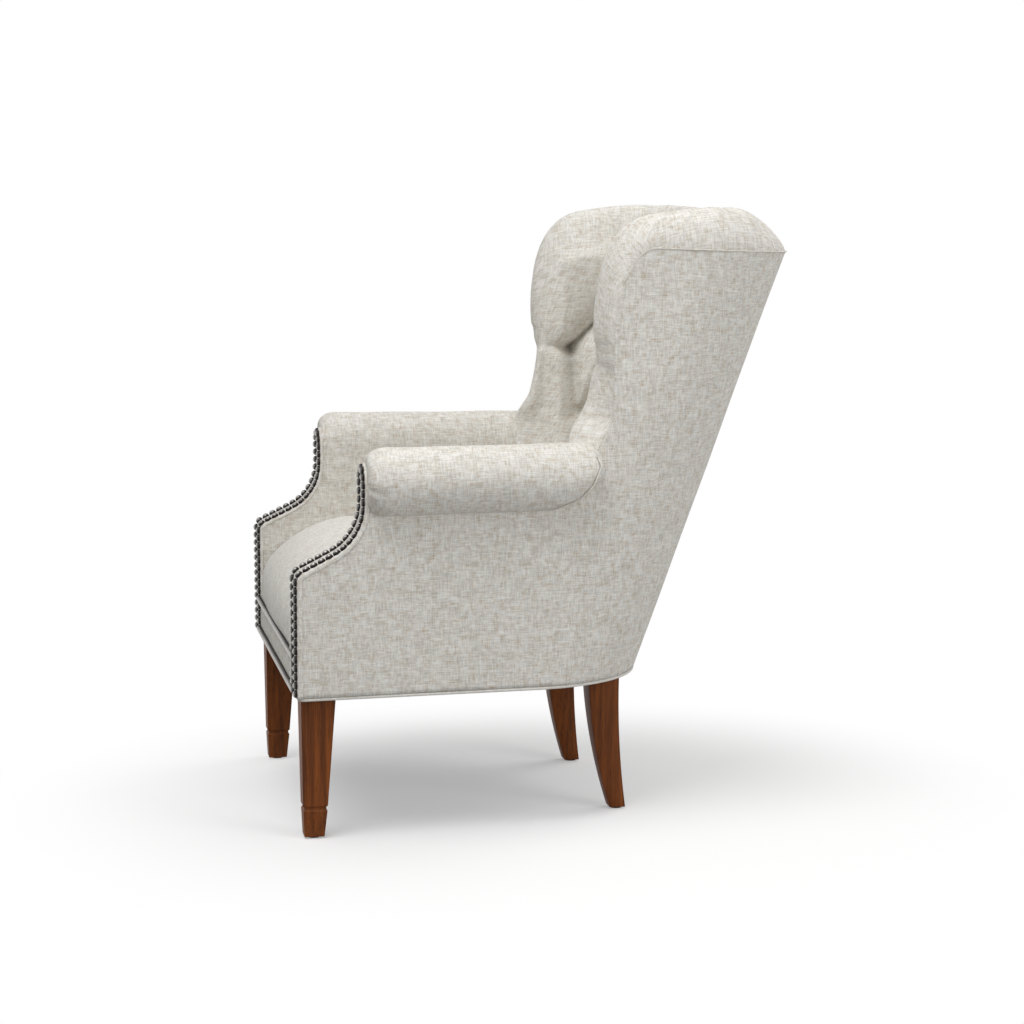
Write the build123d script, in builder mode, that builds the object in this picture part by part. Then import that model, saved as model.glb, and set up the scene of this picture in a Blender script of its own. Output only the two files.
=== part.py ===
import os
from math import asin, cos, degrees, radians, sin, sqrt, tan

from build123d import *

# Wingback chair with rolled arms, a crowned tight seat and a tufted barrel back. Millimetres, +Z up.
# The chair faces -Y, the origin is on the floor under the middle of its bounding box,
# and left and right are the sitter's: left is +X.

# Body plan: straight sides that taper to the rear, two round rear corners and a flat middle
front_reach = 437
side_taper = 5
corner_radius = 235
corner_half_span = 100
corner_reach = -44
back_panel_half_width = 110

# Heights and slopes of the body
base_height = 245
rail_height = 73
top_seam_height = 985
rake = 20.1
inner_rake = 23.3
wing_thickness = 95
crest_rise = 76

# Covers and frame stock
cover_thickness = 5
facing_thickness = 6
border_thickness = 8
frame_inset = 8
stock_thickness = 32
soft_clearance = 0.3
overrun = 20

# Arms
arm_thickness = 58
arm_height = 664
roll_radius = 57
roll_front_round = 20
head_height = 603
inner_arm_padding = 12
neck_set_back = 109
neck_height = 569
sweep_radius = 94
sweep_slope = 29.4
arm_end = 77
arm_rail_bottom = 565
arm_rail_height = 26
arm_post_depth = 62

# Wings: the front seam rises straight, then turns back along a quarter of an ellipse
wing_seam = 106
wing_bend_rise = 155
wing_bend_depth = 72
wing_root = 10
wing_post_width = 50
crest_rail_height = 35
crest_rail_drop = 10

# Back frame and its web
back_post_near = 215
back_post_width = 45
web_thickness = 1.5
upright_band_width = 52
upright_band_pitch = 90
cross_band_width = 52
cross_band_half_span = 205
cross_band_count = 4
band_drop = 10
back_pad_lift = 14

# Seat
seat_crown = 505
seat_side_drop = 53
seat_rear_drop = 14
seat_bulge = 25
seat_nose_height = 352
seat_nose_radius = 112
seat_lap = 2
seat_cover_thickness = 12
spring_wire = 3.8
spring_count = 5
spring_pitch = 90
spring_loop_width = 46
spring_loop_pitch = 26
spring_end_inset = 12
tie_wire = 2.4
tie_length = 500
tie_count = 2
deck_thickness = 1.8

# Tufting buttons, counted along the inner surface from the middle
tuft_pitch = 125
tuft_row_pitch = 121
tuft_top_row_drop = 75
button_radius = 11
button_rise = 6
dimple_depth = 18
dimple_radius = 45

# Legs
leg_top_size = 59
leg_ankle_size = 42
foot_height = 50
foot_top_size = 41
foot_floor_size = 34
ring_height = 5
ring_size = 37
front_leg_side_inset = 20
front_leg_front_inset = 7
front_foot_side_inset = 29
front_foot_front_inset = 12
rear_leg_outer_top = 222
rear_leg_outer_floor = 217
rear_leg_inner_top = 165
rear_leg_inner_floor = 185
rear_leg_front_top = 88
rear_leg_front_floor = 128
rear_leg_rear_top = 143
rear_leg_rear_floor = 156
rear_leg_front_sag = 8.5
rear_leg_rear_sag = 5
glide_height = 3
glide_radius = 10
block_height = 30
front_block_width = 72
front_block_depth = 66
rear_block_near = 150
rear_block_far = 250
rear_block_front = 72
bolt_radius = 4
bolt_grip = 45
nut_radius = 8
nut_height = 7
bolt_clearance = 0.1
front_bolt_inset = 15
rear_bolt_from_leg_front = 17

# Small parts
nail_radius = 5.6
nail_rise = 3
nail_shank_radius = 0.8
nail_shank_length = 4
nail_lift = 0.2
nail_pitch = 13.4
nail_edge = 6
welt_radius = 3
top_welt_radius = 2.4
welt_corner_radius = 8
dust_cover_thickness = 1.2
dust_cover_inset = 7
staple_length = 10
staple_wire = 0.8
staple_pitch = 60
staple_inset = 24
staple_span = 240
leg_opening = 1
clip_width = 16
clip_length = 20
clip_thickness = 1.5

sides = (("left", False), ("right", True))
slope = tan(radians(rake))
inner_slope = tan(radians(inner_rake))
taper_run = tan(radians(side_taper))
rake_direction = Vector(0, slope, 1)
inner_direction = Vector(0, inner_slope, 1)
front = -front_reach
neck = front + neck_set_back
rail_top = base_height + rail_height
roll_height = arm_height - roll_radius
arm_rail_top = arm_rail_bottom + arm_rail_height
frame_inner = frame_inset + stock_thickness
wing_bend_end = wing_seam + wing_bend_depth
wing_bend_height = top_seam_height - wing_bend_rise
crest_rail_top = top_seam_height - crest_rail_drop
crest_rail_bottom = crest_rail_top - crest_rail_height
back_pad_bottom = rail_top + back_pad_lift
pad_back = frame_inner + 3 * web_thickness
far = front_reach + top_seam_height
deck_bottom = rail_top + spring_wire + tie_wire
deck_top = deck_bottom + deck_thickness


def corner_y(height):
    """Y of the rear corners' centres on the outer surface at a height."""
    return corner_reach + (height - base_height) * slope


def inner_corner_y(height):
    """The same on the inner surface, which meets the wing's thickness at the top seam."""
    return corner_y(top_seam_height) - (top_seam_height - height) * inner_slope


def side_x(inset, y, height):
    """X of the straight side, drawn in by inset, at a place along it."""
    radius = corner_radius - inset
    tangent_x = corner_half_span + radius * cos(radians(side_taper))
    tangent_y = corner_y(height) + radius * sin(radians(side_taper))
    return tangent_x + (tangent_y - y) * taper_run


inner_arm_front = side_x(0, front, base_height) - arm_thickness


def inner_arm_x(y):
    """X of the arm's inner face, which is upright."""
    return inner_arm_front - (y - front) * taper_run


def roll_x(y):
    """X of the arm roll's axis."""
    return inner_arm_x(y) + roll_radius / cos(radians(side_taper))


def barrel(radius, centre_y, direction, low, high):
    """Everything in front of a raked barrel back, between two heights, far out to the front."""
    tangent_x = corner_half_span + radius * cos(radians(side_taper))
    tangent_y = centre_y + radius * sin(radians(side_taper))
    reach = front - far
    with BuildPart() as solid:
        with BuildSketch(Plane.XY.offset(low)):
            with BuildLine():
                Line((0, reach), (tangent_x + (tangent_y - reach) * taper_run, reach))
                Line((tangent_x + (tangent_y - reach) * taper_run, reach), (tangent_x, tangent_y))
                CenterArc((corner_half_span, centre_y), radius, side_taper, 90 - side_taper)
                Line((corner_half_span, centre_y + radius), (0, centre_y + radius))
                mirror(about=Plane.YZ)
            make_face()
        extrude(amount=(high - low) * direction.length, dir=direction)
    return solid.part


def outer_barrel(inset, low, high):
    """The body inside its outer surface drawn in by inset."""
    return barrel(corner_radius - inset, corner_y(low), rake_direction, low, high)


def inner_barrel(inset, low, high):
    """The sitter's space in front of the inside back, drawn in by inset."""
    radius = corner_radius - wing_thickness - inset
    return barrel(radius, inner_corner_y(low), inner_direction, low, high)


def wall(outer_inset, inner_inset, low, high):
    """A raked wall between two insets of the outer surface."""
    with BuildPart() as solid:
        add(outer_barrel(outer_inset, low, high))
        add(outer_barrel(inner_inset, low - overrun, high + overrun), mode=Mode.SUBTRACT)
    return solid.part


def block(low, high):
    """A box between two corners."""
    with BuildPart() as solid:
        with Locations(((low[0] + high[0]) / 2, (low[1] + high[1]) / 2, (low[2] + high[2]) / 2)):
            Box(high[0] - low[0], high[1] - low[1], high[2] - low[2])
    return solid.part


def sweep_start(set_back):
    """Side view point where the arm's slope runs into its hollow sweep."""
    angle = radians(90 - sweep_slope)
    radius = sweep_radius + set_back
    return neck - sweep_radius + radius * cos(angle), neck_height - radius * sin(angle)


def arm_side(set_back, rear):
    """Side view of an arm as a prism: all that lies set_back or more behind the arm's front."""
    high = arm_height + overrun
    start_y, start_z = sweep_start(set_back)
    corner_z = start_z - (start_y - front - set_back) * tan(radians(sweep_slope))
    with BuildPart() as solid:
        with BuildSketch(Plane.YZ):
            with BuildLine():
                Line((front + set_back, 0), (front + set_back, corner_z))
                Line((front + set_back, corner_z), (start_y, start_z))
                CenterArc((neck - sweep_radius, neck_height), sweep_radius + set_back,
                          sweep_slope - 90, 90 - sweep_slope)
                Polyline((neck + set_back, neck_height), (neck + set_back, high), (rear, high),
                         (rear, 0), (front + set_back, 0))
            make_face()
        extrude(amount=far, both=True)
    return solid.part


def wing_side(set_back, low):
    """Side view of wings and back as a prism: all that lies set_back or more behind the front seam."""
    with BuildPart() as solid:
        with BuildSketch(Plane.YZ):
            with BuildLine():
                Polyline((arm_end, low), (arm_end, arm_height), (wing_seam + set_back, arm_height),
                         (wing_seam + set_back, wing_bend_height))
                EllipticalCenterArc((wing_bend_end, wing_bend_height), wing_bend_depth - set_back,
                                    wing_bend_rise - set_back, start_angle=180, arc_size=-90)
                Polyline((wing_bend_end, top_seam_height - set_back),
                         (far, top_seam_height - set_back), (far, low), (arm_end, low))
            make_face()
        extrude(amount=far, both=True)
    return solid.part


def beyond_inner_arm(padding, low, high):
    """The left arm's side of its inner face, moved outward by padding."""
    near_y = front - overrun
    with BuildPart() as solid:
        with BuildSketch(Plane.XY.offset(low)):
            with BuildLine():
                Polyline((inner_arm_x(near_y) + padding, near_y), (far, near_y), (far, arm_end),
                         (inner_arm_x(arm_end) + padding, arm_end), close=True)
            make_face()
        extrude(amount=high - low)
    return solid.part


def arm_cylinder(radius, height, from_y, to_y, front_round):
    """A bar along the left arm that touches its inner face, cut square to the chair, its front rounded."""
    along = 1 / cos(radians(side_taper))
    with BuildPart() as solid:
        with BuildSketch(Plane.XZ.offset(-from_y)):
            with Locations((inner_arm_x(from_y) + radius * along, height)):
                Ellipse(radius * along, radius)
        extrude(amount=(to_y - from_y) * along, dir=(-sin(radians(side_taper)), cos(radians(side_taper)), 0))
        if front_round:
            fillet(solid.edges().sort_by(Axis.Y)[0], front_round)
    return solid.part


def inner_surface(along, height):
    """Point and inward normal on the inside back, at a distance along it from the middle."""
    radius = corner_radius - wing_thickness
    centre_y = inner_corner_y(height)
    if along <= corner_half_span:
        return (along, centre_y + radius, height), (0, -1)
    turn = (along - corner_half_span) / radius
    quarter = radians(90 - side_taper)
    if turn <= quarter:
        point = (corner_half_span + radius * sin(turn), centre_y + radius * cos(turn), height)
        return point, (-sin(turn), -cos(turn))
    run = along - corner_half_span - radius * quarter
    point_x = corner_half_span + radius * sin(quarter) + run * sin(radians(side_taper))
    point_y = centre_y + radius * cos(quarter) - run * cos(radians(side_taper))
    return (point_x, point_y, height), (-sin(quarter), -cos(quarter))


def tuft_places():
    """Point and inward normal of every button, in rows that are staggered by half a pitch."""
    places = []
    row_columns = ((0, 1, 2), (0.5, 1.5, 2.5), (0, 1, 2), (0.5, 1.5))
    for row, columns in enumerate(row_columns):
        height = top_seam_height - tuft_top_row_drop - row * tuft_row_pitch
        for column in columns:
            point, normal = inner_surface(column * tuft_pitch, height)
            inward = Vector(*normal, -normal[1] * inner_slope).normalized()
            places.append((Vector(*point), inward))
            if column:
                places.append((Vector(-point[0], *point[1:]), Vector(-inward.X, inward.Y, inward.Z)))
    return places


def face_point(along):
    """Side view point and forward tilt on the arm's front, at a distance up from the base."""
    start_y, start_z = sweep_start(0)
    corner_z = start_z - (start_y - front) * tan(radians(sweep_slope))
    slope_run = (start_y - front) / cos(radians(sweep_slope))
    upright = corner_z - base_height
    sweep_run = sweep_radius * radians(90 - sweep_slope)
    if along <= upright:
        return front, base_height + along, 0
    if along <= upright + slope_run:
        run = along - upright
        tilt = 90 - sweep_slope
        return front + run * cos(radians(sweep_slope)), corner_z + run * sin(radians(sweep_slope)), tilt
    if along <= upright + slope_run + sweep_run:
        turn = (along - upright - slope_run) / sweep_radius
        angle = turn - radians(90 - sweep_slope)
        point_y = neck - sweep_radius + sweep_radius * cos(angle)
        return point_y, neck_height + sweep_radius * sin(angle), -degrees(angle)
    return neck, neck_height + along - upright - slope_run - sweep_run, 0


def face_length():
    """Length of the arm's front from the base up to the neck."""
    start_y, start_z = sweep_start(0)
    corner_z = start_z - (start_y - front) * tan(radians(sweep_slope))
    slope_run = (start_y - front) / cos(radians(sweep_slope))
    return corner_z - base_height + slope_run + sweep_radius * radians(90 - sweep_slope)


def spread(start, end, pitch):
    """Evenly spaced values from start to end, about one pitch apart."""
    count = max(1, round(abs(end - start) / pitch))
    return [start + (end - start) * step / count for step in range(count + 1)]


def nail_location(point, outward):
    """Location on a surface, lifted by a hair, with Z pointing out of it."""
    out = Vector(*outward).normalized()
    return Plane(origin=Vector(*point) + out * nail_lift, z_dir=out).location


with BuildPart() as nail:
    cap_radius = (nail_radius**2 + nail_rise**2) / (2 * nail_rise)
    with Locations((0, 0, nail_rise - cap_radius)):
        Sphere(cap_radius)
    split(bisect_by=Plane.XY, keep=Keep.TOP)
    with Locations((0, 0, -nail_shank_length / 2)):
        Cylinder(nail_shank_radius, nail_shank_length)

os.makedirs("parts", exist_ok=True)

# Front legs: a square taper, a grooved ring and a spade foot
leg_front = front + front_leg_front_inset
leg_side = side_x(0, front, base_height) - front_leg_side_inset
foot_front = front + front_foot_front_inset
foot_side = side_x(0, front, base_height) - front_foot_side_inset
ankle_height = foot_height + ring_height
foot_middle = (foot_side - foot_floor_size / 2, foot_front + foot_floor_size / 2)
ankle_middle = (foot_side + ring_height - leg_ankle_size / 2,
                foot_front - ring_height / 2 + leg_ankle_size / 2)
for side, flip in sides:
    with BuildPart() as front_leg:
        with BuildSketch(Plane.XY.offset(ankle_height)):
            with Locations(ankle_middle):
                Rectangle(leg_ankle_size, leg_ankle_size)
        with BuildSketch(Plane.XY.offset(base_height)):
            with Locations((leg_side - leg_top_size / 2, leg_front + leg_top_size / 2)):
                Rectangle(leg_top_size, leg_top_size)
        loft()
        with BuildSketch(Plane.XY.offset(foot_height)):
            with Locations(ankle_middle):
                Rectangle(ring_size, ring_size)
        extrude(amount=ring_height)
        with BuildSketch(Plane.XY.offset(glide_height)):
            with Locations(foot_middle):
                Rectangle(foot_floor_size, foot_floor_size)
        with BuildSketch(Plane.XY.offset(foot_height)):
            with Locations(ankle_middle):
                Rectangle(foot_top_size, foot_top_size)
        loft()
        front_bolt = (leg_side - leg_top_size + front_bolt_inset,
                      leg_front + leg_top_size - front_bolt_inset)
        with Locations((*front_bolt, base_height - bolt_grip / 2)):
            Cylinder(bolt_radius + bolt_clearance, bolt_grip, mode=Mode.SUBTRACT)
        if flip:
            mirror(about=Plane.YZ, mode=Mode.REPLACE)
    front_leg.part.label = f"front_leg_{side}"
    export_step(front_leg.part, f"parts/front_leg_{side}.step")

# Rear legs: curved to the rear in side view, tapered in front view
leg_middle_height = (base_height + glide_height) / 2
front_sag_y = (rear_leg_front_top + rear_leg_front_floor) / 2 - rear_leg_front_sag
rear_sag_y = (rear_leg_rear_top + rear_leg_rear_floor) / 2 - rear_leg_rear_sag
rear_bolt = ((rear_leg_outer_top + rear_leg_inner_top) / 2, rear_leg_front_top + rear_bolt_from_leg_front)
for side, flip in sides:
    with BuildPart() as rear_leg:
        with BuildSketch(Plane.YZ):
            with BuildLine():
                Line((rear_leg_front_top, base_height), (rear_leg_rear_top, base_height))
                ThreePointArc((rear_leg_rear_top, base_height), (rear_sag_y, leg_middle_height),
                              (rear_leg_rear_floor, glide_height))
                Line((rear_leg_rear_floor, glide_height), (rear_leg_front_floor, glide_height))
                ThreePointArc((rear_leg_front_floor, glide_height), (front_sag_y, leg_middle_height),
                              (rear_leg_front_top, base_height))
            make_face()
        extrude(amount=far)
        with BuildSketch(Plane.XZ):
            with BuildLine():
                Polyline((rear_leg_inner_floor, glide_height), (rear_leg_outer_floor, glide_height),
                         (rear_leg_outer_top, base_height), (rear_leg_inner_top, base_height), close=True)
            make_face()
        extrude(amount=far, both=True, mode=Mode.INTERSECT)
        with Locations((*rear_bolt, base_height - bolt_grip / 2)):
            Cylinder(bolt_radius + bolt_clearance, bolt_grip, mode=Mode.SUBTRACT)
        if flip:
            mirror(about=Plane.YZ, mode=Mode.REPLACE)
    rear_leg.part.label = f"rear_leg_{side}"
    export_step(rear_leg.part, f"parts/rear_leg_{side}.step")

# Glides nailed under the feet
rear_foot_middle = ((rear_leg_inner_floor + rear_leg_outer_floor) / 2,
                    (rear_leg_front_floor + rear_leg_rear_floor) / 2)
glide_places = [(turn * spot[0], spot[1]) for spot in (foot_middle, rear_foot_middle) for turn in (1, -1)]
with BuildPart() as glides:
    with BuildSketch():
        with Locations(*glide_places):
            Circle(glide_radius)
    extrude(amount=glide_height)
glides.part.label = "glides"
export_step(glides.part, "parts/glides.step")

# Seat rails
rail_front = front + border_thickness
with BuildPart() as seat_rail_front:
    add(outer_barrel(frame_inner, base_height, rail_top))
    add(block((-far, rail_front, base_height), (far, rail_front + stock_thickness, rail_top)),
        mode=Mode.INTERSECT)
seat_rail_front.part.label = "seat_rail_front"
export_step(seat_rail_front.part, "parts/seat_rail_front.step")

with BuildPart() as seat_rail_rear:
    add(wall(frame_inset, frame_inner, base_height, rail_top))
    add(block((-far, 0, base_height), (far, far, rail_top)), mode=Mode.INTERSECT)
seat_rail_rear.part.label = "seat_rail_rear"
export_step(seat_rail_rear.part, "parts/seat_rail_rear.step")

for side, flip in sides:
    with BuildPart() as seat_rail_side:
        add(wall(frame_inset, frame_inner, base_height, rail_top))
        add(block((0, rail_front, base_height), (far, 0, rail_top)), mode=Mode.INTERSECT)
        if flip:
            mirror(about=Plane.YZ, mode=Mode.REPLACE)
    seat_rail_side.part.label = f"seat_rail_{side}"
    export_step(seat_rail_side.part, f"parts/seat_rail_{side}.step")

# Corner blocks above the legs
block_top = base_height + block_height
front_block_y = rail_front + stock_thickness
front_block_x = side_x(frame_inner, front_block_y, base_height) - front_block_width
with BuildPart() as corner_blocks:
    add(outer_barrel(frame_inner, base_height, block_top))
    with BuildPart(mode=Mode.INTERSECT):
        add(block((front_block_x, front_block_y, base_height),
                  (far, front_block_y + front_block_depth, block_top)))
        add(block((rear_block_near, rear_block_front, base_height), (rear_block_far, far, block_top)))
        mirror(about=Plane.YZ)
    bolt_spots = [(turn * spot[0], spot[1]) for spot in (front_bolt, rear_bolt) for turn in (1, -1)]
    with Locations(*[(*spot, base_height + block_height / 2) for spot in bolt_spots]):
        Cylinder(bolt_radius + bolt_clearance, block_height, mode=Mode.SUBTRACT)
corner_blocks.part.label = "corner_blocks"
export_step(corner_blocks.part, "parts/corner_blocks.step")

# Hanger bolts from the legs up through the blocks, each with its nut
bolt_low = base_height - bolt_grip
bolt_high = block_top + nut_height
with BuildPart() as leg_bolts:
    with Locations(*[(*spot, (bolt_low + bolt_high) / 2) for spot in bolt_spots]):
        Cylinder(bolt_radius, bolt_high - bolt_low)
leg_bolts.part.label = "leg_bolts"
export_step(leg_bolts.part, "parts/leg_bolts.step")

with BuildPart() as leg_nuts:
    with BuildSketch(Plane.XY.offset(block_top)):
        with Locations(*bolt_spots):
            RegularPolygon(nut_radius, 6)
            Circle(bolt_radius + bolt_clearance, mode=Mode.SUBTRACT)
    extrude(amount=nut_height)
leg_nuts.part.label = "leg_nuts"
export_step(leg_nuts.part, "parts/leg_nuts.step")

# Arm posts on the side rails, arm rails on the posts, both inside the arm's padding
for side, flip in sides:
    with BuildPart() as arm_post:
        add(outer_barrel(frame_inset, rail_top, arm_rail_bottom))
        add(beyond_inner_arm(inner_arm_padding, rail_top, arm_rail_bottom), mode=Mode.INTERSECT)
        add(arm_side(facing_thickness, arm_end), mode=Mode.INTERSECT)
        add(arm_side(facing_thickness + arm_post_depth, far), mode=Mode.SUBTRACT)
        if flip:
            mirror(about=Plane.YZ, mode=Mode.REPLACE)
    arm_post.part.label = f"arm_post_{side}"
    export_step(arm_post.part, f"parts/arm_post_{side}.step")

    with BuildPart() as arm_rail:
        add(outer_barrel(frame_inset, arm_rail_bottom, arm_rail_top))
        add(beyond_inner_arm(inner_arm_padding, arm_rail_bottom, arm_rail_top), mode=Mode.INTERSECT)
        add(arm_side(facing_thickness, arm_end), mode=Mode.INTERSECT)
        if flip:
            mirror(about=Plane.YZ, mode=Mode.REPLACE)
    arm_rail.part.label = f"arm_rail_{side}"
    export_step(arm_rail.part, f"parts/arm_rail_{side}.step")

# Rear arm posts, belt rails and the wing frame
post_far = back_post_near + back_post_width
for side, flip in sides:
    with BuildPart() as rear_arm_post:
        add(wall(frame_inset, frame_inner, rail_top, arm_rail_bottom))
        add(block((post_far, arm_end, rail_top), (far, arm_end + wing_post_width, arm_rail_bottom)),
            mode=Mode.INTERSECT)
        if flip:
            mirror(about=Plane.YZ, mode=Mode.REPLACE)
    rear_arm_post.part.label = f"rear_arm_post_{side}"
    export_step(rear_arm_post.part, f"parts/rear_arm_post_{side}.step")

    with BuildPart() as belt_rail:
        add(wall(frame_inset, frame_inner, arm_rail_bottom, arm_rail_top))
        add(block((post_far, arm_end, arm_rail_bottom), (far, far, arm_rail_top)), mode=Mode.INTERSECT)
        if flip:
            mirror(about=Plane.YZ, mode=Mode.REPLACE)
    belt_rail.part.label = f"belt_rail_{side}"
    export_step(belt_rail.part, f"parts/belt_rail_{side}.step")

    with BuildPart() as back_post:
        add(wall(frame_inset, frame_inner, rail_top, crest_rail_bottom))
        add(block((back_post_near, 0, rail_top), (post_far, far, crest_rail_bottom)), mode=Mode.INTERSECT)
        if flip:
            mirror(about=Plane.YZ, mode=Mode.REPLACE)
    back_post.part.label = f"back_post_{side}"
    export_step(back_post.part, f"parts/back_post_{side}.step")

    with BuildPart() as wing_post:
        add(wall(frame_inset, frame_inner, arm_rail_top, crest_rail_bottom))
        add(block((0, arm_end, arm_rail_top), (far, wing_seam + wing_post_width, crest_rail_bottom)),
            mode=Mode.INTERSECT)
        add(wing_side(cover_thickness, arm_rail_top - overrun), mode=Mode.INTERSECT)
        if flip:
            mirror(about=Plane.YZ, mode=Mode.REPLACE)
    wing_post.part.label = f"wing_post_{side}"
    export_step(wing_post.part, f"parts/wing_post_{side}.step")

    with BuildPart() as wing_top_rail:
        add(wall(frame_inset, frame_inner, crest_rail_bottom, crest_rail_top))
        add(block((0, arm_end, crest_rail_bottom), (far, corner_y(crest_rail_bottom), crest_rail_top)),
            mode=Mode.INTERSECT)
        add(wing_side(cover_thickness, arm_rail_top), mode=Mode.INTERSECT)
        if flip:
            mirror(about=Plane.YZ, mode=Mode.REPLACE)
    wing_top_rail.part.label = f"wing_top_rail_{side}"
    export_step(wing_top_rail.part, f"parts/wing_top_rail_{side}.step")

with BuildPart() as lumbar_rail:
    add(wall(frame_inset, frame_inner, arm_rail_bottom, arm_rail_top))
    add(block((-back_post_near, 0, arm_rail_bottom), (back_post_near, far, arm_rail_top)),
        mode=Mode.INTERSECT)
lumbar_rail.part.label = "lumbar_rail"
export_step(lumbar_rail.part, "parts/lumbar_rail.step")

with BuildPart() as crest_rail:
    add(wall(frame_inset, frame_inner, crest_rail_bottom, crest_rail_top))
    add(block((-far, corner_y(crest_rail_bottom), crest_rail_bottom), (far, far, crest_rail_top)),
        mode=Mode.INTERSECT)
crest_rail.part.label = "crest_rail"
export_step(crest_rail.part, "parts/crest_rail.step")

# Back web: upright bands against the rails, cross bands over them, then burlap
band_top = crest_rail_top - band_drop
with BuildPart() as back_web_upright:
    add(wall(frame_inner, frame_inner + web_thickness, back_pad_bottom, band_top))
    with BuildPart(mode=Mode.INTERSECT):
        for step in (-1, 0, 1):
            middle = step * upright_band_pitch
            add(block((middle - upright_band_width / 2, 0, back_pad_bottom),
                      (middle + upright_band_width / 2, far, band_top)))
back_web_upright.part.label = "back_web_upright"
export_step(back_web_upright.part, "parts/back_web_upright.step")

cross_gap = (band_top - back_pad_bottom - cross_band_width) / cross_band_count
with BuildPart() as back_web_cross:
    add(wall(frame_inner + web_thickness, frame_inner + 2 * web_thickness, back_pad_bottom, band_top))
    with BuildPart(mode=Mode.INTERSECT):
        for step in range(cross_band_count):
            low = back_pad_bottom + cross_gap * (step + 1)
            add(block((-cross_band_half_span, 0, low), (cross_band_half_span, far, low + cross_band_width)))
back_web_cross.part.label = "back_web_cross"
export_step(back_web_cross.part, "parts/back_web_cross.step")

with BuildPart() as back_burlap:
    add(wall(frame_inner + 2 * web_thickness, pad_back, back_pad_bottom, band_top))
    add(wing_side(cover_thickness, back_pad_bottom), mode=Mode.INTERSECT)
back_burlap.part.label = "back_burlap"
export_step(back_burlap.part, "parts/back_burlap.step")

# Inside back pad with a dimple at every button
with BuildPart() as inside_back_pad:
    add(outer_barrel(pad_back, back_pad_bottom, top_seam_height))
    add(inner_barrel(0, back_pad_bottom - overrun, top_seam_height + overrun), mode=Mode.SUBTRACT)
    add(wing_side(0, back_pad_bottom), mode=Mode.INTERSECT)
    dimple_lift = dimple_radius - dimple_depth
    with Locations(*[point + inward * dimple_lift for point, inward in tuft_places()]):
        Sphere(dimple_radius, mode=Mode.SUBTRACT)
inside_back_pad.part.label = "inside_back_pad"
export_step(inside_back_pad.part, "parts/inside_back_pad.step")

button_sag = dimple_radius - sqrt(dimple_radius**2 - button_radius**2)
button_cap = (button_radius**2 + button_rise**2) / (2 * button_rise)
with BuildPart() as button:
    with Locations((0, 0, button_rise - button_cap)):
        Sphere(button_cap)
    split(bisect_by=Plane.XY, keep=Keep.TOP)
button_depth = dimple_depth - button_sag - nail_lift
with BuildPart() as back_buttons:
    with Locations(*[Plane(origin=point - inward * button_depth, z_dir=inward)
                     for point, inward in tuft_places()]):
        add(button.part)
back_buttons.part.label = "back_buttons"
export_step(back_buttons.part, "parts/back_buttons.step")

# Top roll: half ellipses that grow from the wings' front edges to the crest
def roll_stations():
    """Place, outward direction, rise direction and height of each section, from a wing to the middle."""
    inset = wing_thickness / 2
    stations = []
    outward = (cos(radians(side_taper)), sin(radians(side_taper)))
    edge_shares = ((0, 0.58), (0.34, 0.29), (0.74, 0.22), (1, 0.34))
    for up_share, rise_share in edge_shares:
        height = arm_height + (wing_bend_height - arm_height) * up_share
        place = (side_x(inset, wing_seam, height), wing_seam, height)
        stations.append((place, outward, (-1, 0), crest_rise * rise_share))
    bend_shares = ((30, 0.42), (60, 0.57), (78, 0.68))
    for turn, rise_share in bend_shares:
        across = cos(radians(turn))
        up = sin(radians(turn))
        place_y = wing_bend_end - wing_bend_depth * across
        height = wing_bend_height + wing_bend_rise * up
        place = (side_x(inset, place_y, height), place_y, height)
        lean = Vector(-across / wing_bend_depth, up / wing_bend_rise).normalized()
        stations.append((place, outward, (lean.X, lean.Y), crest_rise * rise_share))
    top_y = corner_y(top_seam_height)
    radius = corner_radius - inset
    top_shares = ((0.3, 0.82), (1, 0.9))
    tangent_y = top_y + radius * sin(radians(side_taper))
    for along_share, rise_share in top_shares:
        place_y = wing_bend_end + (tangent_y - wing_bend_end) * along_share
        place = (side_x(inset, place_y, top_seam_height), place_y, top_seam_height)
        stations.append((place, outward, (0, 1), crest_rise * rise_share))
    rear_shares = ((30, 0.94), (60, 0.97), (90, 1))
    for turn, rise_share in rear_shares:
        direction = (cos(radians(turn)), sin(radians(turn)))
        place = (corner_half_span + radius * direction[0], top_y + radius * direction[1], top_seam_height)
        stations.append((place, direction, (0, 1), crest_rise * rise_share))
    stations.append(((0, top_y + radius, top_seam_height), (0, 1), (0, 1), crest_rise))
    return stations


with BuildPart() as top_roll:
    right_half = roll_stations()
    left_half = [((-place[0], *place[1:]), (-outward[0], outward[1]), rise, height)
                 for place, outward, rise, height in reversed(right_half[:-1])]
    for place, outward, rise, height in right_half + left_half:
        across = Vector(*outward, 0)
        up = Vector(0, *rise)
        up = (up - across * up.dot(across)).normalized()
        with BuildSketch(Plane(origin=place, x_dir=across, z_dir=across.cross(up))):
            with BuildLine():
                EllipticalCenterArc((0, 0), wing_thickness / 2, height, start_angle=0, arc_size=180)
                Polyline((-wing_thickness / 2, 0), (-wing_thickness / 2, -wing_root),
                         (wing_thickness / 2, -wing_root), (wing_thickness / 2, 0))
            make_face()
    loft()
    add(wing_side(0, arm_height - overrun), mode=Mode.SUBTRACT)
top_roll.part.label = "top_roll"
export_step(top_roll.part, "parts/top_roll.step")

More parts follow.
